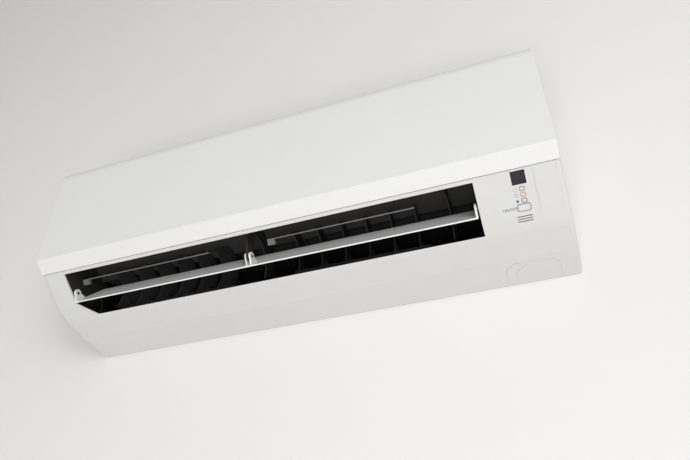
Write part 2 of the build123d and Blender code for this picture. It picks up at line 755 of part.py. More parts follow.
def return_bend(first, second, x, outward):
    """Half ring of tube between two tube ends."""
    y, z = (first[0] + second[0]) / 2, (first[1] + second[1]) / 2
    ring = Plane(origin=(x, first[0], first[1]), z_dir=(outward, 0, 0)) * Circle(TUBE_RADIUS)
    across = Vector(0, second[0] - first[0], second[1] - first[1])
    pin = Axis((x, y, z), across.cross(Vector(outward, 0, 0)))
    return revolve(ring, pin, -180.0)


def tube_run(slab, depth):
    """Four tubes of one row joined into a snake by return bends."""
    centres = row_centres(slab, depth)
    left = COIL_LEFT - END_PLATE - TUBE_STUB
    right = COIL_RIGHT + END_PLATE + TUBE_STUB
    pieces = [rod_x(centre, TUBE_RADIUS, left, right) for centre in centres]
    for index in range(len(centres) - 1):
        x, outward = (left, -1) if index % 2 == 0 else (right, 1)
        pieces.append(return_bend(centres[index], centres[index + 1], x, outward))
    return pieces[0].fuse(*pieces[1:])


def coil_tubes():
    return group([tube_run(slab, depth) for slab in coil_slabs() for depth in TUBE_DEPTHS])


# ---- pipes ----
def pipe(points, radius):
    """Bent round pipe through the given corners."""
    route = FilletPolyline(*points, radius=PIPE_BEND)
    start = Plane(origin=route @ 0, z_dir=route % 0)
    return sweep(start * Circle(radius), path=route)


def pipe_corners(depth, drop_x, foot, end_x):
    """Corners of a pipe from the rear slab down behind the motor and along the bottom."""
    y, z = row_centres(coil_slabs()[2], depth)[-1]
    start_x = COIL_RIGHT + END_PLATE + TUBE_STUB
    return [
        (start_x, y, z),
        (drop_x, y, z),
        (drop_x, -PIPE_SETBACK, z - 27.0),
        (drop_x, -PIPE_SETBACK, foot),
        (end_x, -PIPE_SETBACK, foot),
        (end_x, NUT_FRONT - 0.02, foot),
    ]


def gas_pipe():
    return pipe(pipe_corners(TUBE_DEPTHS[1], GAS_PIPE_X, GAS_PIPE_FOOT, GAS_UNION_X), GAS_PIPE_RADIUS)


def liquid_pipe():
    corners = pipe_corners(TUBE_DEPTHS[0], LIQUID_PIPE_X, LIQUID_PIPE_FOOT, LIQUID_UNION_X)
    return pipe(corners, LIQUID_PIPE_RADIUS)


def union(x, foot, radius, across):
    """Hexagon and threaded end that the outside line screws onto."""
    front = Plane(origin=(x, NUT_FRONT, foot), z_dir=(0, 1, 0))
    nut = extrude(front * RegularPolygon(across / 2, 6, major_radius=False), UNION_NUT)
    return nut + extrude(front * Circle(radius), UNION_NUT + UNION_LENGTH)


# ---- rear chassis ----
def flow_edges(start, angle, moves, shift):
    """Edges of a smooth line of straights and left-hand arcs, shifted to its right."""
    here = along(start, heading(angle - 90.0), shift)
    edges = []
    for radius, amount in moves:
        if radius == 0:
            there = along(here, heading(angle), amount)
            edges.append(Line(here, there))
        else:
            centre = along(here, heading(angle + 90.0), radius + shift)
            middle = along(centre, heading(angle - 90.0 + amount / 2), radius + shift)
            angle = angle + amount
            there = along(centre, heading(angle - 90.0), radius + shift)
            edges.append(ThreePointArc(here, middle, there))
        here = there
    return edges, here


def scroll_sheet(x_low, x_high):
    """Duct floor and the curved wall behind the fan."""
    moves = [(0, FLOOR_LENGTH - FLOOR_START)]
    moves.append((SCROLL_LOWER_RADIUS, SCROLL_LOWER_SWEEP))
    moves.append((SCROLL_UPPER_RADIUS, SCROLL_UPPER_SWEEP))
    start = on_floor(FLOOR_START, 0)
    inner, inner_end = flow_edges(start, FLOOR_SLOPE, moves, 0.0)
    outer, outer_end = flow_edges(start, FLOOR_SLOPE, moves, SCROLL_WALL)
    first = Line(start, along(start, heading(FLOOR_SLOPE - 90.0), SCROLL_WALL))
    last = Line(inner_end, outer_end)
    return between(make_face([*inner, *outer, first, last]), x_low, x_high)


def scroll_end():
    moves = [(0, FLOOR_LENGTH), (SCROLL_LOWER_RADIUS, SCROLL_LOWER_SWEEP)]
    moves.append((SCROLL_UPPER_RADIUS, SCROLL_UPPER_SWEEP))
    return flow_edges(LIP, FLOOR_SLOPE, moves, 0.0)[1]


def chassis_side(x_low):
    """Wall at one end of the fan, open for the pipes at its lower rear corner."""
    outline = [(FRONT + 27.6, 61.5), (FRONT + 66.6, 29.5), (FRONT + 91.6, 18.5), (-60.0, 9.5), (-50.0, 9.7)]
    outline += [(-50.0, 60.0), (-CHASSIS_RIM, 60.0), (-CHASSIS_RIM, 189.5), (FRONT + 71.6, 189.5)]
    outline += [(FRONT + 71.6, 112.0)]
    return prism(outline, x_low, x_low + SIDE_WALL)


def motor_band(front):
    """Half of the band round the fan motor, with a flange at each end."""
    low = MOTOR_LEFT + 10.0
    high = low + MOTOR_BAND_WIDTH
    inner = MOTOR_RADIUS + 0.6
    ring = rod_x(FAN, inner + MOTOR_BAND, low, high) - rod_x(FAN, inner, low - 1, high + 1)
    y, z = FAN
    if front:
        half = ring & block(low - 1, high + 1, y - 60, y - 0.3, z - 60, z + 60)
        y_low, y_high = y - 3.3, y - 0.3
    else:
        half = ring & block(low - 1, high + 1, y + 0.3, y + 60, z - 60, z + 60)
        y_low, y_high = y + 0.3, y + 3.3
    for side in (-1, 1):
        near = z + side * (inner + 1.0)
        far = z + side * (inner + MOTOR_BAND + 12.0)
        half = half + block(low, high, y_low, y_high, min(near, far), max(near, far))
    return half


def motor_screw_places():
    x = MOTOR_LEFT + 10.0 + MOTOR_BAND_WIDTH / 2
    reach = MOTOR_RADIUS + MOTOR_BAND + 7.0
    return [(x, FAN[1] - reach), (x, FAN[1] + reach)]


def screw_holes_y(places, y_low, y_high, radius):
    holes = []
    for x, z in places:
        middle = Pos(x, (y_low + y_high) / 2, z)
        holes.append(middle * Rot(90, 0, 0) * Cylinder(radius, y_high - y_low))
    return holes


def rear_chassis():
    inner_left = CASE_LEFT + SIDE_WALL
    inner_right = CASE_RIGHT - SIDE_WALL
    back = block(-CHASSIS_HALF_WIDTH, CHASSIS_HALF_WIDTH, -CHASSIS_RIM, CHASSIS_WALL - CHASSIS_RIM,
                 CHASSIS_FOOT, CHASSIS_HEAD)
    rim = block(-CHASSIS_HALF_WIDTH, CHASSIS_HALF_WIDTH, -CHASSIS_RIM, 0, CHASSIS_FOOT, CHASSIS_HEAD)
    rim = rim - block(-CHASSIS_HALF_WIDTH + CHASSIS_WALL, CHASSIS_HALF_WIDTH - CHASSIS_WALL,
                      -CHASSIS_RIM - 1, 1, CHASSIS_FOOT + CHASSIS_WALL, CHASSIS_HEAD - CHASSIS_WALL)
    end = scroll_end()
    gutter = block(inner_left, inner_right, end[0], -CHASSIS_RIM, 187.0, 189.5)
    gutter_lip = block(inner_left, inner_right, end[0] - 0.5, end[0] + 2.0, end[1] - 2.0, 194.0)
    body = back + rim + gutter + gutter_lip + scroll_sheet(inner_left, inner_right)
    body = body + chassis_side(CASE_LEFT) + chassis_side(CASE_RIGHT - SIDE_WALL)
    band = motor_band(False)
    low = MOTOR_LEFT + 10.0
    outer = MOTOR_RADIUS + MOTOR_BAND
    band = band + block(low, low + MOTOR_BAND_WIDTH, FAN[0] + outer - 1.0, -CHASSIS_RIM, 128, 148)
    body = body + band
    body = body - rod_x(FAN, FAN_HUB_RADIUS + 2.0, CASE_RIGHT - SIDE_WALL - 1, CASE_RIGHT + 1)
    body = body - rod_x(FAN, FAN_HUB_RADIUS + 2.0, CASE_LEFT - 1, CASE_LEFT + SIDE_WALL + 1)
    body = body - rod_x(LOUVER, LOUVER_PIN_RADIUS + 1.6, CASE_RIGHT - SIDE_WALL - 1, CASE_RIGHT + 1)
    hook_z = PLATE_CENTRE_HEIGHT + PLATE_HEIGHT / 2 - HOOK_DROP / 2 + 6.0
    for side in (-1, 1):
        x = side * HOOK_X
        half = HOOK_WIDTH / 2 + 3.0
        body = body - block(x - half, x + half, -CHASSIS_RIM - 1, 1, hook_z - 7.0, hook_z + 1.4)
    body = body - screw_holes_y(motor_screw_places(), FAN[0], FAN[0] + 5, SCREW_RADIUS + FIT_GAP)
    return body - bearing_screw_holes(CASE_LEFT - 1, CASE_LEFT + SIDE_WALL + 1)


def bearing_screw_places():
    return [along(FAN, heading(angle), 24.0) for angle in (90.0, 270.0)]


def bearing_screw_holes(x_low, x_high):
    return [rod_x(place, SCREW_RADIUS + FIT_GAP, x_low, x_high) for place in bearing_screw_places()]


def wall_plate():
    """Steel sheet that is screwed to the wall, with two hooks that carry the unit."""
    low = PLATE_CENTRE_HEIGHT - PLATE_HEIGHT / 2
    high = low + PLATE_HEIGHT
    half = PLATE_WIDTH / 2
    body = block(-half, half, -PLATE_THICKNESS, 0, low, high)
    body = fillet(body.edges().filter_by(Axis.Y), 8.0)
    for z in (PLATE_CENTRE_HEIGHT - 28.0, PLATE_CENTRE_HEIGHT + 28.0):
        body = body + block(-half + 40, half - 40, -PLATE_THICKNESS - 1.4, -PLATE_THICKNESS, z - 4, z + 4)
    hook_z = high - HOOK_DROP / 2 + 6.0
    for side in (-1, 1):
        x = side * HOOK_X
        near, far = x - HOOK_WIDTH / 2, x + HOOK_WIDTH / 2
        tip = -CHASSIS_RIM - 1.2 - PLATE_THICKNESS
        body = body + block(near, far, tip, -PLATE_THICKNESS / 2, hook_z, hook_z + PLATE_THICKNESS)
        body = body + block(near, far, tip, tip + PLATE_THICKNESS, hook_z, hook_z + 8.0)
        body = body - block(near, far, -PLATE_THICKNESS - 1, 1, hook_z - 9.0, hook_z)
    places = []
    for side in (-1, 1):
        for level in (-1, 1):
            z = PLATE_CENTRE_HEIGHT + level * PLATE_SCREW_SPACING_Z / 2
            places.append((side * PLATE_SCREW_SPACING_X / 2, z))
    return body - screw_holes_y(places, -PLATE_THICKNESS - 2, 1, PLATE_SCREW_RADIUS)


# ---- drain pan ----
def pan_path():
    """Outer line of the trough from its front rim round to its rear rim."""
    front = COVER_FRONT + COVER_WALL + 1.0
    return [
        (front, PAN_FRONT_HEIGHT),
        (front, 74.6),
        (-176.5, 69.6),
        (-167.0, 69.6),
        (-134.5, 106.6),
        (-134.5, PAN_BACK_HEIGHT),
    ]


def drain_centre():
    return (-171.0, 81.5)


def drain_pan():
    path = pan_path()
    body = sheet(path, PAN_WALL, PAN_LEFT, PAN_RIGHT)
    rim = along(path[3], (path[4][0] - path[3][0], path[4][1] - path[3][1]), 0.74)
    outline = path[:4] + [rim, (rim[0], PAN_FRONT_HEIGHT - 2)]
    outline[0] = (path[0][0], PAN_FRONT_HEIGHT - 2)
    body = body + prism(outline, PAN_LEFT, PAN_LEFT + PAN_WALL)
    body = body + prism(outline, PAN_RIGHT - PAN_WALL, PAN_RIGHT)
    centre = drain_centre()
    body = body + rod_x(centre, DRAIN_RADIUS, PAN_LEFT - DRAIN_LENGTH, PAN_LEFT + 0.5)
    body = body + rod_x(centre, DRAIN_RADIUS, PAN_RIGHT - 0.5, PAN_RIGHT + DRAIN_PLUG_LENGTH)
    bore = DRAIN_RADIUS - DRAIN_WALL
    body = body - rod_x(centre, bore, PAN_LEFT - DRAIN_LENGTH - 1, PAN_LEFT + PAN_WALL + 1)
    return body - rod_x(centre, bore, PAN_RIGHT - PAN_WALL - 1, PAN_RIGHT + DRAIN_PLUG_LENGTH + 1)


def drain_plug():
    """Stopper in the drain outlet that is not used."""
    centre = drain_centre()
    end = PAN_RIGHT + DRAIN_PLUG_LENGTH
    bore = DRAIN_RADIUS - DRAIN_WALL
    return rod_x(centre, bore - FIT_GAP / 2, end - 9.0, end + 0.5) + rod_x(centre, DRAIN_RADIUS, end + 0.02, end + 2.5)


# ---- fan ----
def blade_section(angle):
    """Thin leaning blade between the fan's inner and outer circle."""
    tip = along(FAN, heading(angle), FAN_RADIUS - 0.4)
    lean = angle + 180.0 - FAN_BLADE_LEAN
    root = along(tip, heading(lean), FAN_BLADE_DEPTH)
    middle = along(along(tip, heading(lean), FAN_BLADE_DEPTH / 2), heading(lean + 90.0), 1.6)
    width = FAN_BLADE / 2
    over = heading(lean + 90.0)
    front = ThreePointArc(along(tip, over, width), along(middle, over, width), along(root, over, width))
    rear = ThreePointArc(along(tip, over, -width), along(middle, over, -width), along(root, over, -width))
    ends = [Line(along(tip, over, width), along(tip, over, -width))]
    ends.append(Line(along(root, over, width), along(root, over, -width)))
    return make_face([front, rear, *ends])


def cross_flow_fan():
    blades = []
    for index in range(FAN_BLADES):
        blades.append(between(blade_section(360.0 / FAN_BLADES * index), FAN_LEFT + 1, FAN_RIGHT - 1))
    pitch = (FAN_RIGHT - FAN_LEFT - FAN_DISC) / (FAN_DISCS - 1)
    inner = FAN_RADIUS - FAN_BLADE_DEPTH - 1.0
    body = rod_x(FAN, FAN_RADIUS, FAN_LEFT, FAN_LEFT + FAN_DISC)
    body = body + rod_x(FAN, FAN_RADIUS, FAN_RIGHT - FAN_DISC, FAN_RIGHT)
    rings = []
    for index in range(1, FAN_DISCS - 1):
        x = FAN_LEFT + pitch * index
        rings.append(rod_x(FAN, FAN_RADIUS, x, x + FAN_DISC) - rod_x(FAN, inner, x - 1, x + FAN_DISC + 1))
    hub = rod_x(FAN, FAN_HUB_RADIUS, FAN_RIGHT - FAN_HUB_LENGTH, FAN_RIGHT + 2.0)
    journal_end = CASE_LEFT - 3.0
    journal = rod_x(FAN, FAN_SHAFT_RADIUS, journal_end, FAN_LEFT + 8.0)
    boss = rod_x(FAN, 9.0, FAN_LEFT, FAN_LEFT + 8.0)
    body = (body + hub + journal + boss).fuse(*rings, *blades)
    bore = rod_x(FAN, FAN_SHAFT_RADIUS + FIT_GAP / 2, FAN_RIGHT - FAN_HUB_LENGTH - 1, FAN_RIGHT + 3.0)
    return body - bore


def motor_shaft():
    return rod_x(FAN, FAN_SHAFT_RADIUS, FAN_RIGHT - FAN_HUB_LENGTH + 1.0, MOTOR_LEFT + 24.0)


def fan_motor():
    body = rod_x(FAN, MOTOR_RADIUS, MOTOR_LEFT, MOTOR_LEFT + MOTOR_LENGTH)
    body = fillet(body.edges(), 3.0)
    body = body + rod_x(FAN, 14.0, MOTOR_LEFT - 3.5, MOTOR_LEFT + 1.0)
    body = body + rod_x(FAN, 14.0, MOTOR_LEFT + MOTOR_LENGTH - 1.0, MOTOR_LEFT + MOTOR_LENGTH + 4.0)
    return body - rod_x(FAN, FAN_SHAFT_RADIUS + RUN_CLEARANCE, MOTOR_LEFT - 4.0, MOTOR_LEFT + 26.0)


def motor_cover():
    flange = screw_holes_y(motor_screw_places(), FAN[0] - 5, FAN[0], SCREW_RADIUS + FIT_GAP)
    return motor_band(True) - flange


def bearing_holder():
    """Disc on the left end wall that holds the fan's bearing."""
    body = rod_x(FAN, 30.0, CASE_LEFT - 4.0, CASE_LEFT)
    body = body + rod_x(FAN, FAN_HUB_RADIUS + 1.8, CASE_LEFT - 4.0, CASE_LEFT + SIDE_WALL)
    body = body - rod_x(FAN, 9.0 + FIT_GAP / 2, CASE_LEFT - 5.0, CASE_LEFT + SIDE_WALL + 1)
    return body - bearing_screw_holes(CASE_LEFT - 5, CASE_LEFT + 1)


def fan_bearing():
    body = rod_x(FAN, 9.0, CASE_LEFT - 3.8, CASE_LEFT + SIDE_WALL)
    return body - rod_x(FAN, FAN_SHAFT_RADIUS + RUN_CLEARANCE, CASE_LEFT - 5, CASE_LEFT + SIDE_WALL + 1)


# ---- outlet duct ----
def duct_head():
    """Lower edge of the duct's upper wall, just behind the cover's strip."""
    down = lower_face_direction()
    head = along(split_point(), down, MOUTH_HEAD)
    return along(along(head, (-down[1], down[0]), COVER_WALL + 0.6), down, 1.0)


def duct_cheek(x_low):
    outline = [duct_head(), (FRONT + 67.0, 28.4), on_floor(5.4, 0.6), on_floor(45.0, 0.6)]
    outline += [(FRONT + 131.6, 62.0), (FRONT + 127.6, 87.0), TONGUE]
    return prism(outline, x_low, x_low + DUCT_WALL)


def corner_fairing():
    """Curved rib that leads the air past the cut corner at the left end."""
    path = [(DUCT_LEFT + CORNER_CUT, 4.0), (DUCT_LEFT + 21.0, 16.0), (DUCT_LEFT + 16.5, 30.0)]
    path += [(DUCT_LEFT + 8.0, 42.0), (DUCT_LEFT - 1.0, 50.0)]
    other = parallel_path(path, 1.6)
    face = make_face(Polyline(*path, *reversed(other), close=True))
    rib = laid(0, 0, 0.6, extrude(face, 34.0))
    return rib - rod_x(LOUVER, LOUVER_BACK_REACH + 4.6, -HALF, HALF)


def louver_bracket():
    """Hanger with the pin that carries the louver's two middle ears."""
    low = MIDDLE_EAR_X - SECOND_EAR_OFFSET + SECOND_EAR + MIDDLE_EAR_GAP
    y, z = LOUVER
    outline = [(y - 6.5, z), (y - 14.0, z + 39.5), (y + 10.0, z + 65.0), (y + 6.5, z)]
    body = prism(outline, low, low + BRACKET) + rod_x(LOUVER, LOUVER_EAR_RADIUS, low, low + BRACKET)
    left_tip = MIDDLE_EAR_X - SECOND_EAR_OFFSET - 0.3
    right_tip = MIDDLE_EAR_X + LOUVER_EAR / 2 + 0.3
    return body + rod_x(LOUVER, LOUVER_PIN_RADIUS, left_tip, right_tip)


def vane_outline(head, extra):
    """Points of a vane's side shape between the louver's sweep and the fan."""
    pivot = on_floor(VANE_PIVOT_RUN, 0)
    louver = in_floor_frame(LOUVER, pivot)
    fan = in_floor_frame(FAN, pivot)
    front_radius = LOUVER_BACK_REACH + 2.0 + VANE_LOUVER_GAP
    rear_radius = FAN_RADIUS + VANE_FAN_GAP
    levels = [VANE_LIFT + (VANE_SHOULDER - VANE_LIFT) * step / 6 for step in range(7)]
    front = []
    for level in levels:
        reach = front_radius ** 2 - (level - louver[1]) ** 2
        front.append((louver[0] + reach ** 0.5, level))
    upper = [32.0, 42.0, 52.0, head]
    rear = [(15.0, VANE_LIFT), (22.0, 18.0)]
    for level in upper:
        reach = rear_radius ** 2 - (level - fan[1]) ** 2
        rear.append((min(24.0, fan[0] - reach ** 0.5), level))
    return front + extra + list(reversed(rear))


def in_floor_frame(point, pivot):
    """Run and lift of a point counted from a point on the floor."""
    offset = (point[0] - pivot[0], point[1] - pivot[1])
    run = offset[0] * FLOOR[0] + offset[1] * FLOOR[1]
    return (run, offset[0] * UPRIGHT[0] + offset[1] * UPRIGHT[1])


def fixed_rib(x):
    """Rib that reaches from the vanes' level up to the duct's upper wall."""
    points = vane_outline(VANE_HEAD, [(-14.0, VANE_HEAD), (-40.0, 76.5), (-8.0, 83.5)])
    placed = [on_floor(VANE_PIVOT_RUN + run, lift) for run, lift in points]
    half = VANE_THICKNESS / 2
    return prism(placed, x - half, x + half)


def stabiliser(x_low, x_high):
    """Curved sheet close under the fan that goes on from the duct's upper wall."""
    inner = FAN_RADIUS + STABILISER_GAP
    outer = inner + STABILISER_WALL
    start = degrees(atan2(TONGUE[1] - FAN[1], TONGUE[0] - FAN[0])) % 360
    middle = (start + STABILISER_END) / 2
    near = [along(FAN, heading(angle), inner) for angle in (start, middle, STABILISER_END)]
    far = [along(FAN, heading(angle), outer) for angle in (start, middle, STABILISER_END)]
    ends = [Line(near[0], far[0]), Line(near[2], far[2])]
    return between(make_face([ThreePointArc(*near), ThreePointArc(*far), *ends]), x_low, x_high)


def outlet_duct():
    head = duct_head()
    body = sheet([head, TONGUE], DUCT_WALL, DUCT_LEFT - DUCT_WALL, DUCT_RIGHT + DUCT_WALL)
    body = body + duct_cheek(DUCT_LEFT - DUCT_WALL) + duct_cheek(DUCT_RIGHT)
    body = body + rod_x(TONGUE, 2.6, DUCT_LEFT - DUCT_WALL, DUCT_RIGHT + DUCT_WALL)
    body = body + stabiliser(DUCT_LEFT - DUCT_WALL, DUCT_RIGHT + DUCT_WALL)
    body = body - rod_x(LOUVER, LOUVER_PIN_RADIUS + FIT_GAP / 2, DUCT_LEFT - DUCT_WALL - 1, DUCT_LEFT + 1)
    return body - rod_x(LOUVER, LOUVER_PIN_RADIUS + 0.8, DUCT_RIGHT - 1, DUCT_RIGHT + DUCT_WALL + 1)


def fitted(piece, duct):
    """Piece trimmed to the duct's inner faces."""
    return (piece - duct).solids().sort_by(lambda solid: solid.volume)[-1]


def louver_end_pin():
    """Pin with a collar in the left cheek that carries the louver's left ear."""
    tip = LOUVER_LEFT + LOUVER_EAR + 0.3
    pin = rod_x(LOUVER, LOUVER_PIN_RADIUS, DUCT_LEFT - DUCT_WALL, tip)
    return pin + rod_x(LOUVER, LOUVER_PIN_RADIUS + 1.6, DUCT_LEFT + 0.02, DUCT_LEFT + 0.8)


def vane_strip(start):
    """Strip clipped to the duct floor that carries a group of vanes."""
    length = VANE_PITCH * (VANES_PER_GROUP - 1) + 24.0
    middle = start + VANE_PITCH * (VANES_PER_GROUP - 1) / 2
    body = laid(middle, VANE_PIVOT_RUN, 0.3 + STRIP_THICKNESS / 2 - 0.15, Box(length, STRIP_WIDTH, STRIP_THICKNESS - 0.3))
    holes = []
    for index in range(VANES_PER_GROUP):
        hole = Cylinder(VANE_PIN_RADIUS + RUN_CLEARANCE, 12)
        holes.append(laid(start + VANE_PITCH * index, VANE_PIVOT_RUN, 0, hole))
    return body - holes


# ---- louver ----
def louver_point(run, offset):
    """Point at a run along the blade from the pivot and an offset to its outer side."""
    return along(along(LOUVER, heading(LOUVER_ANGLE), run), heading(LOUVER_ANGLE - 90.0), offset)


def louver_ear(x_low, thickness, reach):
    """Ear that joins the blade to the pivot."""
    points = [louver_point(-10.0, LOUVER_OFFSET), louver_point(reach, LOUVER_OFFSET + 0.6)]
    points += [louver_point(LOUVER_EAR_RADIUS * 0.9, 2.6), louver_point(4.0, -5.1), louver_point(-4.6, -4.6)]
    body = prism(points, x_low, x_low + thickness)
    return body + rod_x(LOUVER, LOUVER_EAR_RADIUS, x_low, x_low + thickness)


def louver():
    middle = (LOUVER_BACK_REACH - LOUVER_FRONT_REACH) / 2
    lines = []
    for offset in (LOUVER_OFFSET, LOUVER_OFFSET + LOUVER_BLADE):
        start = louver_point(-LOUVER_FRONT_REACH, offset - LOUVER_SAG)
        end = louver_point(LOUVER_BACK_REACH, offset - LOUVER_SAG)
        lines.append(ThreePointArc(start, louver_point(middle, offset), end))
    lines.append(Line(lines[0] @ 0, lines[1] @ 0))
    lines.append(Line(lines[0] @ 1, lines[1] @ 1))
    face = make_face(lines)
    face = fillet(face.vertices(), 0.7)
    blade = between(face, LOUVER_LEFT, LOUVER_RIGHT)
    ear_tops = [(LOUVER_LEFT, LOUVER_EAR), (MIDDLE_EAR_X - LOUVER_EAR / 2, LOUVER_EAR)]
    ear_tops.append((LOUVER_RIGHT - LOUVER_EAR, LOUVER_EAR))
    for x_low, thickness in ear_tops:
        blade = blade + louver_ear(x_low, thickness, LOUVER_EAR_REACH)
    second = MIDDLE_EAR_X - SECOND_EAR_OFFSET
    blade = blade + louver_ear(second, SECOND_EAR, LOUVER_EAR_REACH)
    blade = blade - rod_x(LOUVER, LOUVER_PIN_RADIUS + RUN_CLEARANCE, LOUVER_LEFT - 1, LOUVER_RIGHT + 1)
    return blade - louver_corner()


def louver_corner():
    """Corner of the blade cut off to clear the cut corner of the mouth."""
    front = 18.0
    back = LOUVER_BACK_REACH + 2.0
    corner = Polyline(
        (LOUVER_LEFT - 1, front - LOUVER_FRONT_REACH),
        (LOUVER_LEFT + CORNER_CUT, back),
        (LOUVER_LEFT - 1, back),
        close=True,
    )
    y, z = LOUVER
    up = heading(LOUVER_ANGLE)
    blade_plane = Plane(origin=(0, y, z), x_dir=(1, 0, 0), z_dir=(0, -up[1], up[0]))
    return blade_plane * extrude(make_face(corner), 40, both=True)


def louver_drive_pin():
    """Pin between the louver's right ear and its motor."""
    body = rod_x(LOUVER, LOUVER_PIN_RADIUS, LOUVER_RIGHT - LOUVER_EAR - 0.6, CASE_RIGHT + 6.0)
    return body + rod_x(LOUVER, LOUVER_PIN_RADIUS + 0.6, LOUVER_RIGHT + 0.02, DUCT_RIGHT - 0.5)


def louver_motor():
    left = CASE_RIGHT + 1.0
    down = lower_face_direction()
    centre = along(LOUVER, (-down[1], down[0]), LOUVER_MOTOR_OFFSET)
    body = rod_x(centre, LOUVER_MOTOR_RADIUS, left + 1.5, left + 1.5 + LOUVER_MOTOR_LENGTH)
    body = body + rod_x(LOUVER, 4.5, left, left + 3.0)
    ears = Pos(left + 2.0, centre[0], centre[1]) * Rot(48.0, 0, 0) * Box(1.0, 7.0, 36.0)
    body = body + ears
    return body - rod_x(LOUVER, LOUVER_PIN_RADIUS + RUN_CLEARANCE, left - 1, CASE_RIGHT + 7.0)


# ---- side vanes ----
def vane_at(x, turn):
    """One vane standing on its strip, turned about its foot."""
    pivot = on_floor(VANE_PIVOT_RUN, 0)
    tip = -LINK_BACK - 2.6
    arm = [(-12.0, VANE_SHOULDER + 2.6), (tip, VANE_HEAD - VANE_ARM), (tip, VANE_HEAD)]
    points = vane_outline(VANE_HEAD, arm)
    placed = [on_floor(VANE_PIVOT_RUN + run, lift) for run, lift in points]
    half = VANE_THICKNESS / 2
    body = prism(placed, -half, half)
    stand = (Align.CENTER, Align.CENTER, Align.MIN)
    foot = Cylinder(VANE_PIN_RADIUS, VANE_LIFT + 6.0, align=stand)
    body = body + laid(0, VANE_PIVOT_RUN, 0.6, foot)
    body = body + laid(0, VANE_PIVOT_RUN, VANE_LIFT, Cylinder(3.2, 1.4, align=stand))
    link_low = VANE_HEAD - VANE_ARM - 0.2 - LINK_THICKNESS
    run = VANE_PIVOT_RUN - LINK_BACK
    body = body + laid(0, run, VANE_HEAD - VANE_ARM, Cylinder(2.6, VANE_ARM, align=stand))
    pin_length = VANE_HEAD - link_low + 0.4
    body = body + laid(0, run, link_low - 0.6, Cylinder(LINK_PIN_RADIUS, pin_length, align=stand))
    axis = Axis((0, pivot[0], pivot[1]), (0, UPRIGHT[0], UPRIGHT[1]))
    return Pos(x, 0, 0) * body.rotate(axis, turn)


def link_bar(start, turn, overhang):
    """Bar that ties a group of vanes together, with a knob at its left end."""
    shift = LINK_BACK * sin(radians(turn))
    run = VANE_PIVOT_RUN - LINK_BACK * cos(radians(turn))
    first = start + shift
    last = first + VANE_PITCH * (VANES_PER_GROUP - 1)
    lift = VANE_HEAD - VANE_ARM - 0.2 - LINK_THICKNESS / 2
    knob_x = first - overhang
    low, high = knob_x, last + 4.0
    body = laid((low + high) / 2, run, lift, Box(high - low, LINK_WIDTH, LINK_THICKNESS))
    knob = Box(KNOB_LENGTH, LINK_WIDTH, KNOB_HEIGHT)
    body = body + laid(knob_x, run, lift - KNOB_HEIGHT / 2 + LINK_THICKNESS / 2, knob)
    holes = []
    for index in range(VANES_PER_GROUP):
        hole = Cylinder(LINK_PIN_RADIUS + RUN_CLEARANCE, 8)
        holes.append(laid(first + VANE_PITCH * index, run, lift, hole))
    return body - holes


# ---- electrics ----
def control_box():
    body = block(BOX_LEFT, BOX_RIGHT, BOX_FRONT, BOX_BACK, BOX_FOOT, BOX_HEAD)
    inner = block(BOX_LEFT + BOX_WALL, BOX_RIGHT - BOX_WALL, BOX_FRONT - 1, BOX_BACK - BOX_WALL,
                  BOX_FOOT + BOX_WALL, BOX_HEAD - BOX_WALL)
    return body - inner


def box_lid():
    return block(BOX_LEFT + BOX_WALL + 0.3, BOX_RIGHT - BOX_WALL - 0.3, BOX_FRONT, BOX_FRONT + BOX_WALL,
                 BOX_FOOT + BOX_WALL + 0.3, BOX_HEAD - BOX_WALL - 0.3)


def control_board():
    """Main board with its larger components."""
    low_x, high_x = BOX_LEFT + BOX_WALL + 2, BOX_RIGHT - BOX_WALL - 2
    low_z, high_z = BOX_FOOT + BOX_WALL + 2, BOX_HEAD - BOX_WALL - 2
    back = BOX_BACK - BOX_WALL - 6
    body = block(low_x, high_x, back - BOARD, back, low_z, high_z)
    front = back - BOARD
    body = body + block(low_x + 6, low_x + 34, front - 26, front, low_z + 8, low_z + 40)
    body = body + block(low_x + 40, low_x + 58, front - 18, front, low_z + 12, low_z + 34)
    body = body + block(low_x + 8, low_x + 26, front - 15, front, low_z + 52, low_z + 68)
    body = body + block(low_x + 34, low_x + 54, front - 3, front, low_z + 60, low_z + 80)
    for x, z in ((low_x + 16, low_z + 96), (low_x + 40, low_z + 104)):
        can = Pos(x, front - 14, z) * Rot(90, 0, 0) * Cylinder(8, 28)
        body = body + can
    return body


def terminal_block():
    """Block below the control box where the wires of the outdoor unit are clamped."""
    low, high = BOX_LEFT + 12, BOX_RIGHT - 10
    top = BOX_FOOT - 0.1
    body = block(low, high, BOX_FRONT + 24, BOX_FRONT + 46, top - 16, top)
    count = 4
    pitch = (high - low) / count
    slots = []
    for index in range(count):
        x = low + pitch * (index + 0.5)
        slots.append(block(x - 3.6, x + 3.6, BOX_FRONT + 23, BOX_FRONT + 33, top - 12, top - 4))
    return body - slots


def display_board():
    """Board behind the control strip with its receiver, lamps and switch."""
    low, high = 3.0, 60.0
    size = Box(31.0, high - low, BOARD)
    body = on_controls(CONTROL_X + 0.5, (low + high) / 2, BOARD_DEPTH + BOARD / 2, size)
    switch_top = COVER_WALL + 0.4 + LENS_FLANGE + BUTTON_TRAVEL + 0.3
    height = BOARD_DEPTH - switch_top + 0.5
    switch = Box(6.0, 6.0, height)
    body = body + on_controls(BUTTON_X, BUTTON_RUN, switch_top + height / 2, switch)
    receiver = Box(8.0, 8.0, 3.0)
    body = body + on_controls(CONTROL_X, WINDOW_RUN, BOARD_DEPTH - 1.2, receiver)
    for run in lamp_runs():
        lamp = Box(3.0, 3.0, 2.4)
        body = body + on_controls(LAMP_X, run, BOARD_DEPTH - 0.9, lamp)
    return body


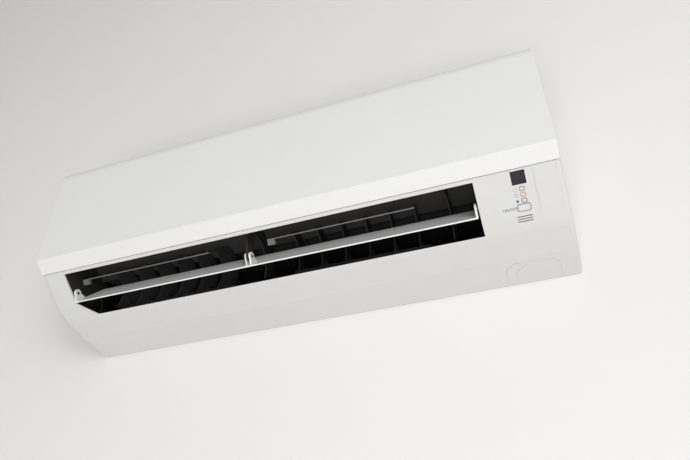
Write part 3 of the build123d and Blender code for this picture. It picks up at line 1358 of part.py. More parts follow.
def flanged_insert(x, run, width, length, radius, flange, lowered):
    """Clear insert that fills an opening of the control strip, with its flange set lower."""
    front = rounded_plate(width - 2 * LENS_GAP, length - 2 * LENS_GAP, COVER_WALL + 0.2, radius)
    back = rounded_plate(width + 2 * flange, length + 2 * flange - lowered, LENS_FLANGE, radius)
    body = on_controls(x, run, 0.1, front)
    return body + on_controls(x, run + lowered / 2, COVER_WALL + 0.1, back)


def receiver_window():
    return flanged_insert(CONTROL_X, WINDOW_RUN, WINDOW_SIZE, WINDOW_SIZE, 0.7, 1.2, 1.8)


def lamp_lenses():
    lenses = [flanged_insert(LAMP_X, run, LAMP_WIDTH, LAMP_LENGTH, 1.4, 0.8, 0) for run in lamp_runs()]
    return group(lenses)


def on_off_button():
    """Key in the control strip with a flange behind the cover."""
    cap = rounded_plate(BUTTON_WIDTH, BUTTON_LENGTH, COVER_WALL + BUTTON_PROUD + 0.3, 1.8)
    body = on_controls(BUTTON_X, BUTTON_RUN, -BUTTON_PROUD, cap)
    flange = rounded_plate(BUTTON_WIDTH + 3.0, BUTTON_LENGTH + 3.0, LENS_FLANGE, 2.0)
    return body + on_controls(BUTTON_X, BUTTON_RUN, COVER_WALL + 0.3, flange)


def room_sensor():
    """Small bead on a stalk in front of the coil's right end."""
    stand = (Align.CENTER, Align.CENTER, Align.MIN)
    y = FRONT + 23.6
    bead = Pos(COIL_RIGHT + 10.0, y, 150.0) * Cylinder(2.5, 16.0, align=stand)
    return bead + block(COIL_RIGHT + END_PLATE + 0.05, COIL_RIGHT + 12.0, y - 1.0, y + 1.0, 156.0, 159.0)


def pan_head_screw():
    """Screw along +Y with its head's underside at the origin."""
    shank = Rot(-90, 0, 0) * Cylinder(SCREW_RADIUS, SCREW_LENGTH, align=(Align.CENTER, Align.CENTER, Align.MIN))
    head = Pos(0, -1.2, 0) * Rot(90, 0, 0) * Cylinder(SCREW_HEAD_RADIUS, 2.4)
    head = fillet(head.edges().sort_by(Axis.Y)[0], 1.0)
    cross = Box(4.0, 2.0, 0.9) + Box(0.9, 2.0, 4.0)
    return head + shank - Pos(0, -2.0, 0) * cross


def case_screws():
    """Screws of the motor band and of the bearing holder."""
    screws = []
    for x, z in motor_screw_places():
        screws.append(Pos(x, FAN[0] - 3.3, z) * pan_head_screw())
    for y, z in bearing_screw_places():
        screws.append(Pos(CASE_LEFT - 4.0, y, z) * Rot(0, 0, -90) * pan_head_screw())
    return group(screws)


def part_shapes():
    """Every node's name with its shape."""
    left_span, right_span = filter_spans()
    shapes = {
        "wall_plate": wall_plate(),
        "rear_chassis": rear_chassis(),
        "front_cover": front_cover(),
        "front_panel": front_panel(),
        "filter_frame_left": filter_frame(left_span),
        "filter_frame_right": filter_frame(right_span),
        "filter_mesh_left": filter_mesh(left_span),
        "filter_mesh_right": filter_mesh(right_span),
        "coil_lower": fin_stack(0),
        "coil_upper": fin_stack(1),
        "coil_rear": fin_stack(2),
        "coil_tubes": coil_tubes(),
        "coil_end_left": end_plate(COIL_LEFT - END_PLATE),
        "coil_end_right": end_plate(COIL_RIGHT),
        "gas_pipe": gas_pipe(),
        "liquid_pipe": liquid_pipe(),
        "gas_union": union(GAS_UNION_X, GAS_PIPE_FOOT, GAS_UNION_RADIUS, 17.0),
        "liquid_union": union(LIQUID_UNION_X, LIQUID_PIPE_FOOT, LIQUID_UNION_RADIUS, 13.0),
        "drain_pan": drain_pan(),
        "drain_plug": drain_plug(),
        "cross_flow_fan": cross_flow_fan(),
        "motor_shaft": motor_shaft(),
        "fan_motor": fan_motor(),
        "motor_band": motor_cover(),
        "bearing_holder": bearing_holder(),
        "fan_bearing": fan_bearing(),
        "outlet_duct": outlet_duct(),
        "louver": louver(),
        "louver_drive_pin": louver_drive_pin(),
        "louver_motor": louver_motor(),
        "vane_strip_left": vane_strip(LEFT_VANE_START),
        "vane_strip_right": vane_strip(RIGHT_VANE_START),
        "link_bar_left": link_bar(LEFT_VANE_START, LEFT_VANE_TURN, LEFT_KNOB_OVERHANG),
        "link_bar_right": link_bar(RIGHT_VANE_START, RIGHT_VANE_TURN, RIGHT_KNOB_OVERHANG),
        "control_box": control_box(),
        "control_box_lid": box_lid(),
        "control_board": control_board(),
        "terminal_block": terminal_block(),
        "display_board": display_board(),
        "receiver_window": receiver_window(),
        "lamp_lenses": lamp_lenses(),
        "on_off_button": on_off_button(),
        "room_sensor": room_sensor(),
        "case_screws": case_screws(),
    }
    duct = shapes["outlet_duct"]
    shapes["louver_hanger"] = fitted(louver_bracket(), duct)
    shapes["louver_end_pin"] = louver_end_pin()
    shapes["corner_fairing"] = fitted(corner_fairing(), duct)
    shapes["fixed_ribs"] = group([fitted(fixed_rib(x), duct) for x in (MIDDLE_RIB_X, FIXED_RIB_X)])
    for index in range(VANES_PER_GROUP):
        step = VANE_PITCH * index
        name = str(index + 1)
        shapes["vane_left_" + name] = vane_at(LEFT_VANE_START + step, LEFT_VANE_TURN)
        shapes["vane_right_" + name] = vane_at(RIGHT_VANE_START + step, RIGHT_VANE_TURN)
    return shapes


def main():
    os.makedirs("parts", exist_ok=True)
    lowered = Pos(0, 0, -PLATE_CENTRE_HEIGHT)
    for name, shape in part_shapes().items():
        export_step(lowered * shape, "parts/" + name + ".step")


main()
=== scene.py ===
import bpy
import bmesh
import json
from math import cos, pi, radians, sin
from mathutils import Matrix, Vector


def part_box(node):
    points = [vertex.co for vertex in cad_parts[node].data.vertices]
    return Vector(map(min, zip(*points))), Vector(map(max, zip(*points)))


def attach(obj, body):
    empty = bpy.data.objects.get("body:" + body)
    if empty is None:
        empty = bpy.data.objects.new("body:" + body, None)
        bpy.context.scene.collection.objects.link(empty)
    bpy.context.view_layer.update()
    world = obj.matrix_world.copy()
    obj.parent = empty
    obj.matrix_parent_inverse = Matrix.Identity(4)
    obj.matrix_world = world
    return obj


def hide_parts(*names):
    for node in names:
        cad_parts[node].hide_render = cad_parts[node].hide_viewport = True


# Dresses the wall air conditioner: finishes for every moulded, sheet and tube part,
# fins for the coil, the printed marks beside the lamps, the wall, the light and the camera.
# X runs to the right, Y into the wall, Z up. Lengths are in metres, except where a value
# is multiplied by MM at its use: the printed marks and the corners of the coil.

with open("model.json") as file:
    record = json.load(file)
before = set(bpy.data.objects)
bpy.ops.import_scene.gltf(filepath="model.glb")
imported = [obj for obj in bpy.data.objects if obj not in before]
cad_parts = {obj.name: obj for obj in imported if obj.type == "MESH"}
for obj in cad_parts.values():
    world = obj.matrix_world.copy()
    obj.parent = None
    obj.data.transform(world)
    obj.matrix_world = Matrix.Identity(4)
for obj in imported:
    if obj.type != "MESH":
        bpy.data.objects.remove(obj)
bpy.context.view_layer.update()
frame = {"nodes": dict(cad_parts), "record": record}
MM = 0.001

# ---- camera ----
CAMERA_YAW = 19.529
CAMERA_PITCH = 35.370
CAMERA_ROLL = -0.612
CAMERA_SPOT = (0.331965, -0.808957, -0.601062)
CAMERA_LENS = 33.11
CAMERA_SENSOR = 36.0
CAMERA_NEAR = 0.02
CAMERA_FAR = 40.0

# ---- light ----
ROOM_COLOUR = (0.99, 0.995, 1.0, 1.0)
ROOM_STRENGTH = 0.44
BACKGROUND_COLOUR = (0.93, 0.93, 0.92, 1.0)
BACKGROUND_STRENGTH = 0.60
LAMP_AIM = Vector((0.0, -0.05, 0.05))

# ---- coil fins ----
PLATE_CENTRE_HEIGHT = 150.0  # the origin's height over the unit's lower rear edge, in millimetres
FIN_DEPTH = 22.0 * MM
FIN_PITCH = 1.6 * MM
FIN_SHEET = 0.13 * MM
FIN_RIPPLE = 0.45 * MM
FIN_STRIPS = 8
SAME_COLUMN = 1e-5
# each slab: the corner it starts from (Y and height in millimetres), which way it runs
# (degrees above straight back) and how far (metres)
COIL_SLABS = (
    ("coil_lower", (-177.5, 94.0), 90.0, 0.0750),
    ("coil_upper", (-171.0, 182.0), 56.0, 0.0920),
    ("coil_rear", (-88.0, 262.0), -38.0, 0.0760),
)

# ---- printed marks on the control face, in millimetres ----
FACE_TOP_Y = -179.3
FACE_TOP_HEIGHT = 59.2
FACE_ACROSS = Vector((1.0, 0.0, 0.0))
FACE_DOWN = Vector((0.0, 0.7896, -0.6136))
FACE_OUT = Vector((0.0, -0.6136, -0.7896))
INK_COAT = 0.04
INK_PROUD = 0.02
WORDS_EXTRUDE = 0.02
WORDS_PROUD = 0.04
FONT_OVER_CAPITAL = 1.4
LAMP_X = 334.2
MARK_X = 325.9
THIN_LINE = 0.28
STAR_REACH = 1.5
STAR_LINE = 0.75

# ---- wall and floor ----
WALL_WIDTH = 9.0
WALL_SETBACK = 0.0006
OPENING_SIDE = 0.384
OPENING_FOOT = -0.144
OPENING_HEAD = 0.119
FLOOR_WIDTH = 24.0
FLOOR_HEIGHT = -2.3

# ---- looks of the moulded parts: colours, roughness from and to, size and depth of the grain ----
DUST = (0.06, 0.058, 0.054)
MOULDED_LOOKS = {
    "white_shell": dict(colour=(0.67, 0.67, 0.665), shade=(0.655, 0.655, 0.645), rough=(0.38, 0.50),
                        grain=1500.0, grain_depth=0.00003, gloss=0.45, coat=0.05),
    "panel_white": dict(colour=(0.79, 0.79, 0.78), shade=(0.78, 0.78, 0.765), rough=(0.30, 0.42),
                        grain=1900.0, grain_depth=0.00002, gloss=0.5, coat=0.12),
    # the louver's white is lighter than the shell's white plastic: painted light, standing in for light the
    # lamps do not bring into the mouth
    "louver_white": dict(colour=(0.88, 0.88, 0.87), shade=(0.87, 0.87, 0.86), rough=(0.34, 0.46),
                         grain=1600.0, grain_depth=0.00003, gloss=0.5, coat=0.05),
    "key_plastic": dict(colour=(0.66, 0.66, 0.65), shade=(0.645, 0.645, 0.63), rough=(0.28, 0.40),
                        grain=2500.0, grain_depth=0.00002, gloss=0.5, coat=0.10),
    # the near-black inside of the outlet is partly the plastic's own dark colour and partly painted shade;
    # the floor liner is dark as painted shade of the deep inside
    "dark_liner": dict(colour=(0.042, 0.040, 0.038), shade=(0.033, 0.032, 0.031), rough=(0.50, 0.66),
                       grain=900.0, grain_depth=0.00006, gloss=0.16, dust=DUST),
    "vane_grey": dict(colour=(0.028, 0.028, 0.028), shade=(0.021, 0.021, 0.022), rough=(0.42, 0.58),
                      grain=1100.0, grain_depth=0.00005, gloss=0.22, dust=DUST),
    "black_plastic": dict(colour=(0.018, 0.018, 0.0185), shade=(0.013, 0.013, 0.013), rough=(0.50, 0.68),
                          grain=800.0, grain_depth=0.00008, gloss=0.2),
    "fan_plastic": dict(colour=(0.030, 0.030, 0.031), shade=(0.022, 0.022, 0.023), rough=(0.42, 0.60),
                        grain=1000.0, grain_depth=0.00005, gloss=0.2),
    "filter_white": dict(colour=(0.42, 0.47, 0.51), shade=(0.38, 0.43, 0.47), rough=(0.40, 0.55),
                         grain=1200.0, grain_depth=0.00004, gloss=0.45),
    "link_grey": dict(colour=(0.235, 0.230, 0.220), shade=(0.19, 0.187, 0.18), rough=(0.40, 0.55),
                      grain=1100.0, grain_depth=0.00004, gloss=0.45),
    "box_plastic": dict(colour=(0.50, 0.50, 0.48), shade=(0.46, 0.46, 0.44), rough=(0.45, 0.60),
                        grain=900.0, grain_depth=0.00006, gloss=0.4),
    "rubber": dict(colour=(0.028, 0.028, 0.028), shade=(0.040, 0.039, 0.037), rough=(0.65, 0.85),
                   grain=700.0, grain_depth=0.00010, gloss=0.3),
}

# ---- looks of the metal parts: colours, roughness from and to, scale and depth of the lines ----
METAL_LOOKS = {
    "fin_aluminium": dict(bright=(0.78, 0.79, 0.81), dull=(0.60, 0.61, 0.63), rough=(0.28, 0.46),
                          lines=(300.0, 90.0, 20.0), line_depth=0.00003, metal=0.9),
    "copper_tube": dict(bright=(0.82, 0.44, 0.30), dull=(0.42, 0.22, 0.15), rough=(0.22, 0.48),
                        lines=(12.0, 500.0, 500.0), line_depth=0.00002),
    "brass_union": dict(bright=(0.78, 0.60, 0.30), dull=(0.52, 0.38, 0.18), rough=(0.22, 0.42),
                        lines=(900.0, 60.0, 60.0), line_depth=0.00003),
    "screw_steel": dict(bright=(0.66, 0.66, 0.65), dull=(0.42, 0.42, 0.41), rough=(0.25, 0.45),
                        lines=(400.0, 400.0, 90.0), line_depth=0.00003),
    "shaft_steel": dict(bright=(0.60, 0.60, 0.61), dull=(0.42, 0.42, 0.43), rough=(0.20, 0.36),
                        lines=(900.0, 30.0, 30.0), line_depth=0.00002),
    "motor_shell": dict(bright=(0.34, 0.34, 0.35), dull=(0.22, 0.22, 0.23), rough=(0.38, 0.55),
                        lines=(40.0, 300.0, 300.0), line_depth=0.00003, metal=0.7),
}


# ---- camera ----
def set_camera():
    """Stands low to the right of the unit and looks up at its outlet."""
    yaw, pitch, roll = radians(CAMERA_YAW), radians(CAMERA_PITCH), radians(CAMERA_ROLL)
    right = Vector((cos(yaw), sin(yaw), 0.0))
    ahead = Vector((-sin(yaw) * cos(pitch), cos(yaw) * cos(pitch), sin(pitch)))
    up = right.cross(ahead)
    level = cos(roll) * right + sin(roll) * up
    upright = -sin(roll) * right + cos(roll) * up
    turn = Matrix((level, upright, -ahead)).transposed()
    data = bpy.data.cameras.new("camera")
    data.sensor_width = CAMERA_SENSOR
    data.lens = CAMERA_LENS
    data.clip_start = CAMERA_NEAR
    data.clip_end = CAMERA_FAR
    camera = bpy.data.objects.new("camera", data)
    camera.matrix_world = Matrix.Translation(CAMERA_SPOT) @ turn.to_4x4()
    bpy.context.scene.collection.objects.link(camera)
    bpy.context.scene.camera = camera


# ---- patterns that the light and the finishes are made of ----
def stretched(tree, coords, scale):
    """Coordinates scaled by their own factor along each axis."""
    mapping = tree.nodes.new("ShaderNodeMapping")
    mapping.inputs["Scale"].default_value = scale
    tree.links.new(coords, mapping.inputs["Vector"])
    return mapping.outputs["Vector"]


def mottle(tree, coords, scale, detail=3.0, roughness=0.55):
    """Cloudy pattern from 0 to 1."""
    noise = tree.nodes.new("ShaderNodeTexNoise")
    noise.inputs["Scale"].default_value = scale
    noise.inputs["Detail"].default_value = detail
    noise.inputs["Roughness"].default_value = roughness
    tree.links.new(coords, noise.inputs["Vector"])
    return noise.outputs["Fac"]


def cells(tree, coords, scale, feature="F1"):
    """Distance from the middle of each cell, or from its edge."""
    pattern = tree.nodes.new("ShaderNodeTexVoronoi")
    pattern.feature = feature
    pattern.inputs["Scale"].default_value = scale
    tree.links.new(coords, pattern.inputs["Vector"])
    return pattern.outputs["Distance"]


def spread(tree, value, low, high, first=0.0, last=1.0):
    """Maps a pattern between two limits onto the range first to last."""
    ranged = tree.nodes.new("ShaderNodeMapRange")
    ranged.inputs["From Min"].default_value = low
    ranged.inputs["From Max"].default_value = high
    ranged.inputs["To Min"].default_value = first
    ranged.inputs["To Max"].default_value = last
    tree.links.new(value, ranged.inputs["Value"])
    return ranged.outputs["Result"]


def by_identifier(sockets, identifier):
    """One socket of the mix node, where several sockets share a name."""
    return next(socket for socket in sockets if socket.identifier == identifier)


def two_tone(tree, share, first, second):
    """Mixes two colours, each a colour of its own or the output of another node."""
    mix = tree.nodes.new("ShaderNodeMix")
    mix.data_type = "RGBA"
    for identifier, colour in (("A_Color", first), ("B_Color", second)):
        target = by_identifier(mix.inputs, identifier)
        if isinstance(colour, tuple):
            target.default_value = (*colour, 1.0)
        else:
            tree.links.new(colour, target)
    tree.links.new(share, by_identifier(mix.inputs, "Factor_Float"))
    return by_identifier(mix.outputs, "Result_Color")


def combined(tree, first, second, operation="MULTIPLY"):
    """Joins two patterns into one."""
    node = tree.nodes.new("ShaderNodeMath")
    node.operation = operation
    tree.links.new(first, node.inputs[0])
    tree.links.new(second, node.inputs[1])
    return node.outputs[0]


def choose_shader(tree, share, first, second, out):
    """Sends the first shader to the output where share is 0 and the second where it is 1."""
    choose = tree.nodes.new("ShaderNodeMixShader")
    tree.links.new(share, choose.inputs[0])
    tree.links.new(first, choose.inputs[1])
    tree.links.new(second, choose.inputs[2])
    tree.links.new(choose.outputs[0], out.inputs["Surface"])


def relief(tree, shader, height, strength, depth, under=None):
    """Raises the surface by a pattern, over an earlier relief if one is given."""
    bump = tree.nodes.new("ShaderNodeBump")
    bump.inputs["Strength"].default_value = strength
    bump.inputs["Distance"].default_value = depth
    tree.links.new(height, bump.inputs["Height"])
    if under is not None:
        tree.links.new(under, bump.inputs["Normal"])
    tree.links.new(bump.outputs["Normal"], shader.inputs["Normal"])
    return bump.outputs["Normal"]


# ---- light ----
def glow(tree, colour, strength):
    """Even light from all around."""
    background = tree.nodes.new("ShaderNodeBackground")
    background.inputs["Color"].default_value = colour
    background.inputs["Strength"].default_value = strength
    return background.outputs[0]


def set_light():
    """Soft room light, with a wide window on the right and a glow from below."""
    world = bpy.data.worlds.new("room_light")
    bpy.context.scene.world = world
    world.use_nodes = True
    tree = world.node_tree
    tree.nodes.clear()
    room = glow(tree, ROOM_COLOUR, ROOM_STRENGTH)
    seen = glow(tree, BACKGROUND_COLOUR, BACKGROUND_STRENGTH)
    rays = tree.nodes.new("ShaderNodeLightPath").outputs
    looking = combined(tree, rays["Is Camera Ray"], rays["Is Glossy Ray"], "MAXIMUM")
    looking = combined(tree, looking, rays["Is Transmission Ray"], "MAXIMUM")
    choose_shader(tree, looking, room, seen, tree.nodes.new("ShaderNodeOutputWorld"))
    hang_lamp("window", spot=(2.0, -3.0, -0.35), width=1.6, power=42.0)
    hang_lamp("low_glow", spot=(0.35, -2.05, -2.15), width=1.1, power=45.0)


def hang_lamp(name, spot, width, power):
    """Square soft lamp that faces the unit and leaves no bright spots on it."""
    data = bpy.data.lights.new(name, "AREA")
    data.shape = "SQUARE"
    data.size = width
    data.energy = power
    lamp = bpy.data.objects.new(name, data)
    lamp.location = spot
    lamp.visible_glossy = False
    lamp.rotation_mode = "QUATERNION"
    lamp.rotation_quaternion = (LAMP_AIM - Vector(spot)).to_track_quat("-Z", "Y")
    bpy.context.scene.collection.objects.link(lamp)


# ---- finishes ----
def new_finish(name):
    """Empty finish with its shader, set by where a point lies on the piece."""
    finish = bpy.data.materials.new(name)
    finish.use_nodes = True
    tree = finish.node_tree
    shader = tree.nodes["Principled BSDF"]
    coords = tree.nodes.new("ShaderNodeTexCoord").outputs["Object"]
    return finish, tree, shader, coords


def dusted(tree, coords, body, dust):
    """Patchy dust on what faces up, over the colours of the plastic."""
    facing = tree.nodes.new("ShaderNodeSeparateXYZ")
    normal = tree.nodes.new("ShaderNodeTexCoord").outputs["Normal"]
    tree.links.new(normal, facing.inputs[0])
    film = spread(tree, facing.outputs["Z"], low=0.2, high=0.95)
    patches = mottle(tree, coords, scale=60.0, detail=5.0, roughness=0.7)
    film = combined(tree, film, spread(tree, patches, low=0.38, high=0.72, first=0.1, last=0.75))
    return two_tone(tree, film, body, dust)


def moulded(name, colour, shade, rough, grain, grain_depth, gloss, coat=0.0, dust=None):
    """Injection moulded plastic: slow colour drift, fine tool grain and handling marks."""
    finish, tree, shader, coords = new_finish(name)
    drift = spread(tree, mottle(tree, coords, scale=5.0, detail=2.0), low=0.35, high=0.65)
    body = two_tone(tree, drift, colour, shade)
    flecks = mottle(tree, coords, scale=420.0, detail=4.0, roughness=0.7)
    flecks = spread(tree, flecks, low=0.58, high=0.80, first=0.0, last=0.35)
    body = two_tone(tree, flecks, body, tuple(0.90 * part for part in shade))
    if dust is not None:
        body = dusted(tree, coords, body, dust)
    tree.links.new(body, shader.inputs["Base Color"])
    rub = mottle(tree, stretched(tree, coords, (14.0, 40.0, 40.0)), scale=1.0, detail=4.0, roughness=0.6)
    tree.links.new(spread(tree, rub, 0.3, 0.7, *rough), shader.inputs["Roughness"])
    wave = relief(tree, shader, mottle(tree, coords, scale=26.0, detail=1.0), strength=0.25, depth=0.00012)
    tooling = mottle(tree, coords, grain, detail=3.0, roughness=0.6)
    relief(tree, shader, tooling, strength=0.5, depth=grain_depth, under=wave)
    shader.inputs["Specular IOR Level"].default_value = gloss
    shader.inputs["IOR"].default_value = 1.49
    shader.inputs["Coat Weight"].default_value = coat
    shader.inputs["Coat Roughness"].default_value = 0.18
    return finish


def drawn_metal(name, bright, dull, rough, lines, line_depth, metal=1.0):
    """Drawn or rolled metal with marks along its length and dull patches."""
    finish, tree, shader, coords = new_finish(name)
    patches = mottle(tree, coords, scale=30.0, detail=5.0, roughness=0.65)
    streaks = mottle(tree, stretched(tree, coords, lines), scale=1.0, detail=4.0, roughness=0.6)
    tone = combined(tree, spread(tree, patches, low=0.38, high=0.68),
                    spread(tree, streaks, low=0.25, high=0.75, first=0.5, last=1.0))
    tree.links.new(two_tone(tree, tone, bright, dull), shader.inputs["Base Color"])
    tree.links.new(spread(tree, streaks, 0.3, 0.7, *rough), shader.inputs["Roughness"])
    shader.inputs["Metallic"].default_value = metal
    relief(tree, shader, streaks, strength=0.4, depth=line_depth)
    return finish


def galvanised():
    """Zinc coated sheet with its crystal pattern, whose edges wander a little."""
    finish, tree, shader, coords = new_finish("zinc_steel")
    wobble = tree.nodes.new("ShaderNodeTexNoise")
    wobble.inputs["Scale"].default_value = 60.0
    tree.links.new(coords, wobble.inputs["Vector"])
    small = tree.nodes.new("ShaderNodeVectorMath")
    small.operation = "SCALE"
    small.inputs["Scale"].default_value = 0.012
    tree.links.new(wobble.outputs["Color"], small.inputs[0])
    warped = tree.nodes.new("ShaderNodeVectorMath")
    warped.operation = "ADD"
    tree.links.new(coords, warped.inputs[0])
    tree.links.new(small.outputs[0], warped.inputs[1])
    crystals = tree.nodes.new("ShaderNodeTexVoronoi")
    crystals.inputs["Scale"].default_value = 95.0
    tree.links.new(warped.outputs[0], crystals.inputs["Vector"])
    each = tree.nodes.new("ShaderNodeSeparateColor")
    tree.links.new(crystals.outputs["Color"], each.inputs[0])
    zinc = two_tone(tree, each.outputs[0], (0.62, 0.63, 0.64), (0.42, 0.44, 0.46))
    tree.links.new(zinc, shader.inputs["Base Color"])
    dullness = spread(tree, each.outputs[1], 0.0, 1.0, first=0.28, last=0.5)
    tree.links.new(dullness, shader.inputs["Roughness"])
    shader.inputs["Metallic"].default_value = 0.92
    relief(tree, shader, mottle(tree, coords, scale=220.0, detail=3.0), strength=0.3, depth=0.00006)
    return finish


def woven_net():
    """Fine net of the air filters: threads both ways with dark gaps between, and some lint."""
    finish, tree, shader, coords = new_finish("filter_net")
    threads = []
    for direction in ("X", "Z"):
        wave = tree.nodes.new("ShaderNodeTexWave")
        wave.bands_direction = direction
        wave.inputs["Scale"].default_value = 260.0
        wave.inputs["Distortion"].default_value = 0.4
        wave.inputs["Detail Scale"].default_value = 2.0
        tree.links.new(coords, wave.inputs["Vector"])
        threads.append(wave.outputs["Fac"])
    cloth = combined(tree, *threads, "MAXIMUM")
    net = two_tone(tree, spread(tree, cloth, low=0.45, high=0.9), (0.012, 0.013, 0.014), (0.20, 0.22, 0.24))
    lint = mottle(tree, coords, scale=35.0, detail=5.0, roughness=0.7)
    lint = spread(tree, lint, low=0.45, high=0.75, first=0.0, last=0.4)
    tree.links.new(two_tone(tree, lint, net, (0.26, 0.25, 0.23)), shader.inputs["Base Color"])
    tree.links.new(spread(tree, cloth, 0.0, 1.0, first=0.9, last=0.6), shader.inputs["Roughness"])
    relief(tree, shader, cloth, strength=0.6, depth=0.0002)
    return finish


def circuit_board():
    """Green laminate with tracks and solder lands."""
    finish, tree, shader, coords = new_finish("circuit_board")
    tracks = cells(tree, stretched(tree, coords, (1.0, 1.0, 0.45)), 190.0, "DISTANCE_TO_EDGE")
    lands = cells(tree, coords, 210.0)
    track = spread(tree, tracks, low=0.03, high=0.06, first=1.0, last=0.0)
    land = spread(tree, lands, low=0.16, high=0.22, first=1.0, last=0.0)
    green = two_tone(tree, track, (0.012, 0.085, 0.03), (0.03, 0.17, 0.06))
    tree.links.new(two_tone(tree, land, green, (0.55, 0.56, 0.55)), shader.inputs["Base Color"])
    tree.links.new(spread(tree, land, 0.0, 1.0, first=0.42, last=0.25), shader.inputs["Roughness"])
    relief(tree, shader, combined(tree, track, land, "ADD"), strength=0.5, depth=0.00008)
    shader.inputs["Coat Weight"].default_value = 0.3
    return finish


def lamp_lens():
    """Frosted clear plastic over the lamps."""
    finish, tree, shader, coords = new_finish("lamp_lens")
    cloud = spread(tree, mottle(tree, coords, scale=500.0, detail=3.0), low=0.35, high=0.65)
    tree.links.new(two_tone(tree, cloud, (0.80, 0.81, 0.76), (0.70, 0.72, 0.66)), shader.inputs["Base Color"])
    tree.links.new(spread(tree, cloud, 0.0, 1.0, first=0.22, last=0.36), shader.inputs["Roughness"])
    relief(tree, shader, mottle(tree, coords, scale=1500.0, detail=2.0), strength=0.3, depth=0.00003)
    shader.inputs["Transmission Weight"].default_value = 0.15
    shader.inputs["IOR"].default_value = 1.5
    return finish


def receiver_window():
    """Smoked window over the remote receiver."""
    finish, tree, shader, coords = new_finish("receiver_window")
    smoke = spread(tree, mottle(tree, coords, scale=90.0, detail=3.0), low=0.3, high=0.7)
    tint = two_tone(tree, smoke, (0.038, 0.036, 0.042), (0.030, 0.028, 0.033))
    tree.links.new(tint, shader.inputs["Base Color"])
    tree.links.new(spread(tree, smoke, 0.0, 1.0, first=0.36, last=0.48), shader.inputs["Roughness"])
    relief(tree, shader, mottle(tree, coords, scale=700.0, detail=2.0), strength=0.15, depth=0.00002)
    shader.inputs["Specular IOR Level"].default_value = 0.12
    return finish


def pan_foam():
    """Foamed white plastic of the drain pan with its bead pattern."""
    finish, tree, shader, coords = new_finish("pan_white")
    seams = spread(tree, cells(tree, coords, 330.0), low=0.35, high=0.7)
    tree.links.new(two_tone(tree, seams, (0.68, 0.68, 0.66), (0.50, 0.50, 0.48)), shader.inputs["Base Color"])
    wear = spread(tree, mottle(tree, coords, scale=40.0), low=0.3, high=0.7, first=0.55, last=0.8)
    tree.links.new(wear, shader.inputs["Roughness"])
    relief(tree, shader, seams, strength=0.4, depth=0.0002)
    return finish


def printed_ink(name, colour):
    """Screen printed ink with slightly uneven cover."""
    finish, tree, shader, coords = new_finish(name)
    cover = spread(tree, mottle(tree, coords, scale=2200.0, detail=3.0), low=0.35, high=0.75)
    pale = tuple(part * 0.85 + 0.03 for part in colour)
    tree.links.new(two_tone(tree, cover, colour, pale), shader.inputs["Base Color"])
    tree.links.new(spread(tree, cover, 0.0, 1.0, first=0.4, last=0.6), shader.inputs["Roughness"])
    relief(tree, shader, cover, strength=0.2, depth=0.00001)
    return finish


def wall_paint():
    """Roller painted wall that is clear from behind, so the back of the unit can be seen."""
    finish, tree, shader, coords = new_finish("wall_paint")
    stain = spread(tree, mottle(tree, coords, scale=1.4, detail=4.0), low=0.3, high=0.7)
    paint = two_tone(tree, stain, (0.86, 0.85, 0.83), (0.845, 0.83, 0.81))
    tree.links.new(paint, shader.inputs["Base Color"])
    shader.inputs["Roughness"].default_value = 0.85
    shader.inputs["Specular IOR Level"].default_value = 0.15
    relief(tree, shader, mottle(tree, coords, scale=160.0, detail=3.0), strength=0.12, depth=0.0005)
    clear = tree.nodes.new("ShaderNodeBsdfTransparent")
    behind = tree.nodes.new("ShaderNodeNewGeometry").outputs["Backfacing"]
    choose_shader(tree, behind, shader.outputs[0], clear.outputs[0], tree.nodes["Material Output"])
    return finish


def floor_paint():
    """Pale, slightly clouded floor."""
    finish, tree, shader, coords = new_finish("floor_paint")
    cloud = spread(tree, mottle(tree, coords, scale=0.8, detail=3.0), low=0.3, high=0.7)
    tree.links.new(two_tone(tree, cloud, (0.80, 0.79, 0.77), (0.77, 0.76, 0.74)), shader.inputs["Base Color"])
    shader.inputs["Roughness"].default_value = 0.8
    return finish


def make_finishes():
    """All finishes by the name of the slot they fill."""
    made = {name: moulded(name, **look) for name, look in MOULDED_LOOKS.items()}
    for name, look in METAL_LOOKS.items():
        made[name] = drawn_metal(name, **look)
    made["zinc_steel"] = galvanised()
    made["filter_net"] = woven_net()
    made["circuit_board"] = circuit_board()
    made["lamp_lens"] = lamp_lens()
    made["receiver_window"] = receiver_window()
    made["pan_white"] = pan_foam()
    return made


def dress_nodes(finishes):
    """Gives every carried-over solid the finish of its slot."""
    slots = {part["node"]: part["material_slot"] for part in frame["record"]["subparts"]}
    for name, node in frame["nodes"].items():
        finish = finishes[slots[name]]
        if node.material_slots:
            for entry in node.material_slots:
                entry.material = finish
        else:
            node.data.materials.append(finish)


# ---- shaping helpers ----
def start_piece(name):
    """Gives the active object and its mesh the name of the piece."""
    piece = bpy.context.active_object
    piece.name = name
    piece.data.name = name
    return piece


def flat_sheet(name, width=1.0):
    """Square sheet at the origin, which a flat piece is shaped from."""
    bpy.ops.object.select_all(action="DESELECT")
    bpy.ops.mesh.primitive_plane_add(size=width, location=(0.0, 0.0, 0.0))
    return start_piece(name)


def only(piece):
    """Selects this piece alone."""
    bpy.ops.object.select_all(action="DESELECT")
    piece.select_set(True)
    bpy.context.view_layer.objects.active = piece


def pick(piece, wanted, mode="FACE"):
    """Selects the faces or points that the given test wants, and stays in edit mode."""
    bpy.ops.object.mode_set(mode="EDIT")
    bpy.ops.mesh.select_mode(type=mode)
    bpy.ops.mesh.select_all(action="DESELECT")
    mesh = bmesh.from_edit_mesh(piece.data)
    for part in mesh.faces if mode == "FACE" else mesh.verts:
        part.select_set(wanted(part))
    mesh.select_flush_mode()
    bmesh.update_edit_mesh(piece.data)


def place(piece, matrix):
    """Moves the shape inside its object, which stays at the origin."""
    piece.data.transform(matrix)
    piece.matrix_world = Matrix.Identity(4)


def apply_all(piece):
    """Applies the piece's modifiers in their order."""
    only(piece)
    for modifier in list(piece.modifiers):
        bpy.ops.object.modifier_apply(modifier=modifier.name)


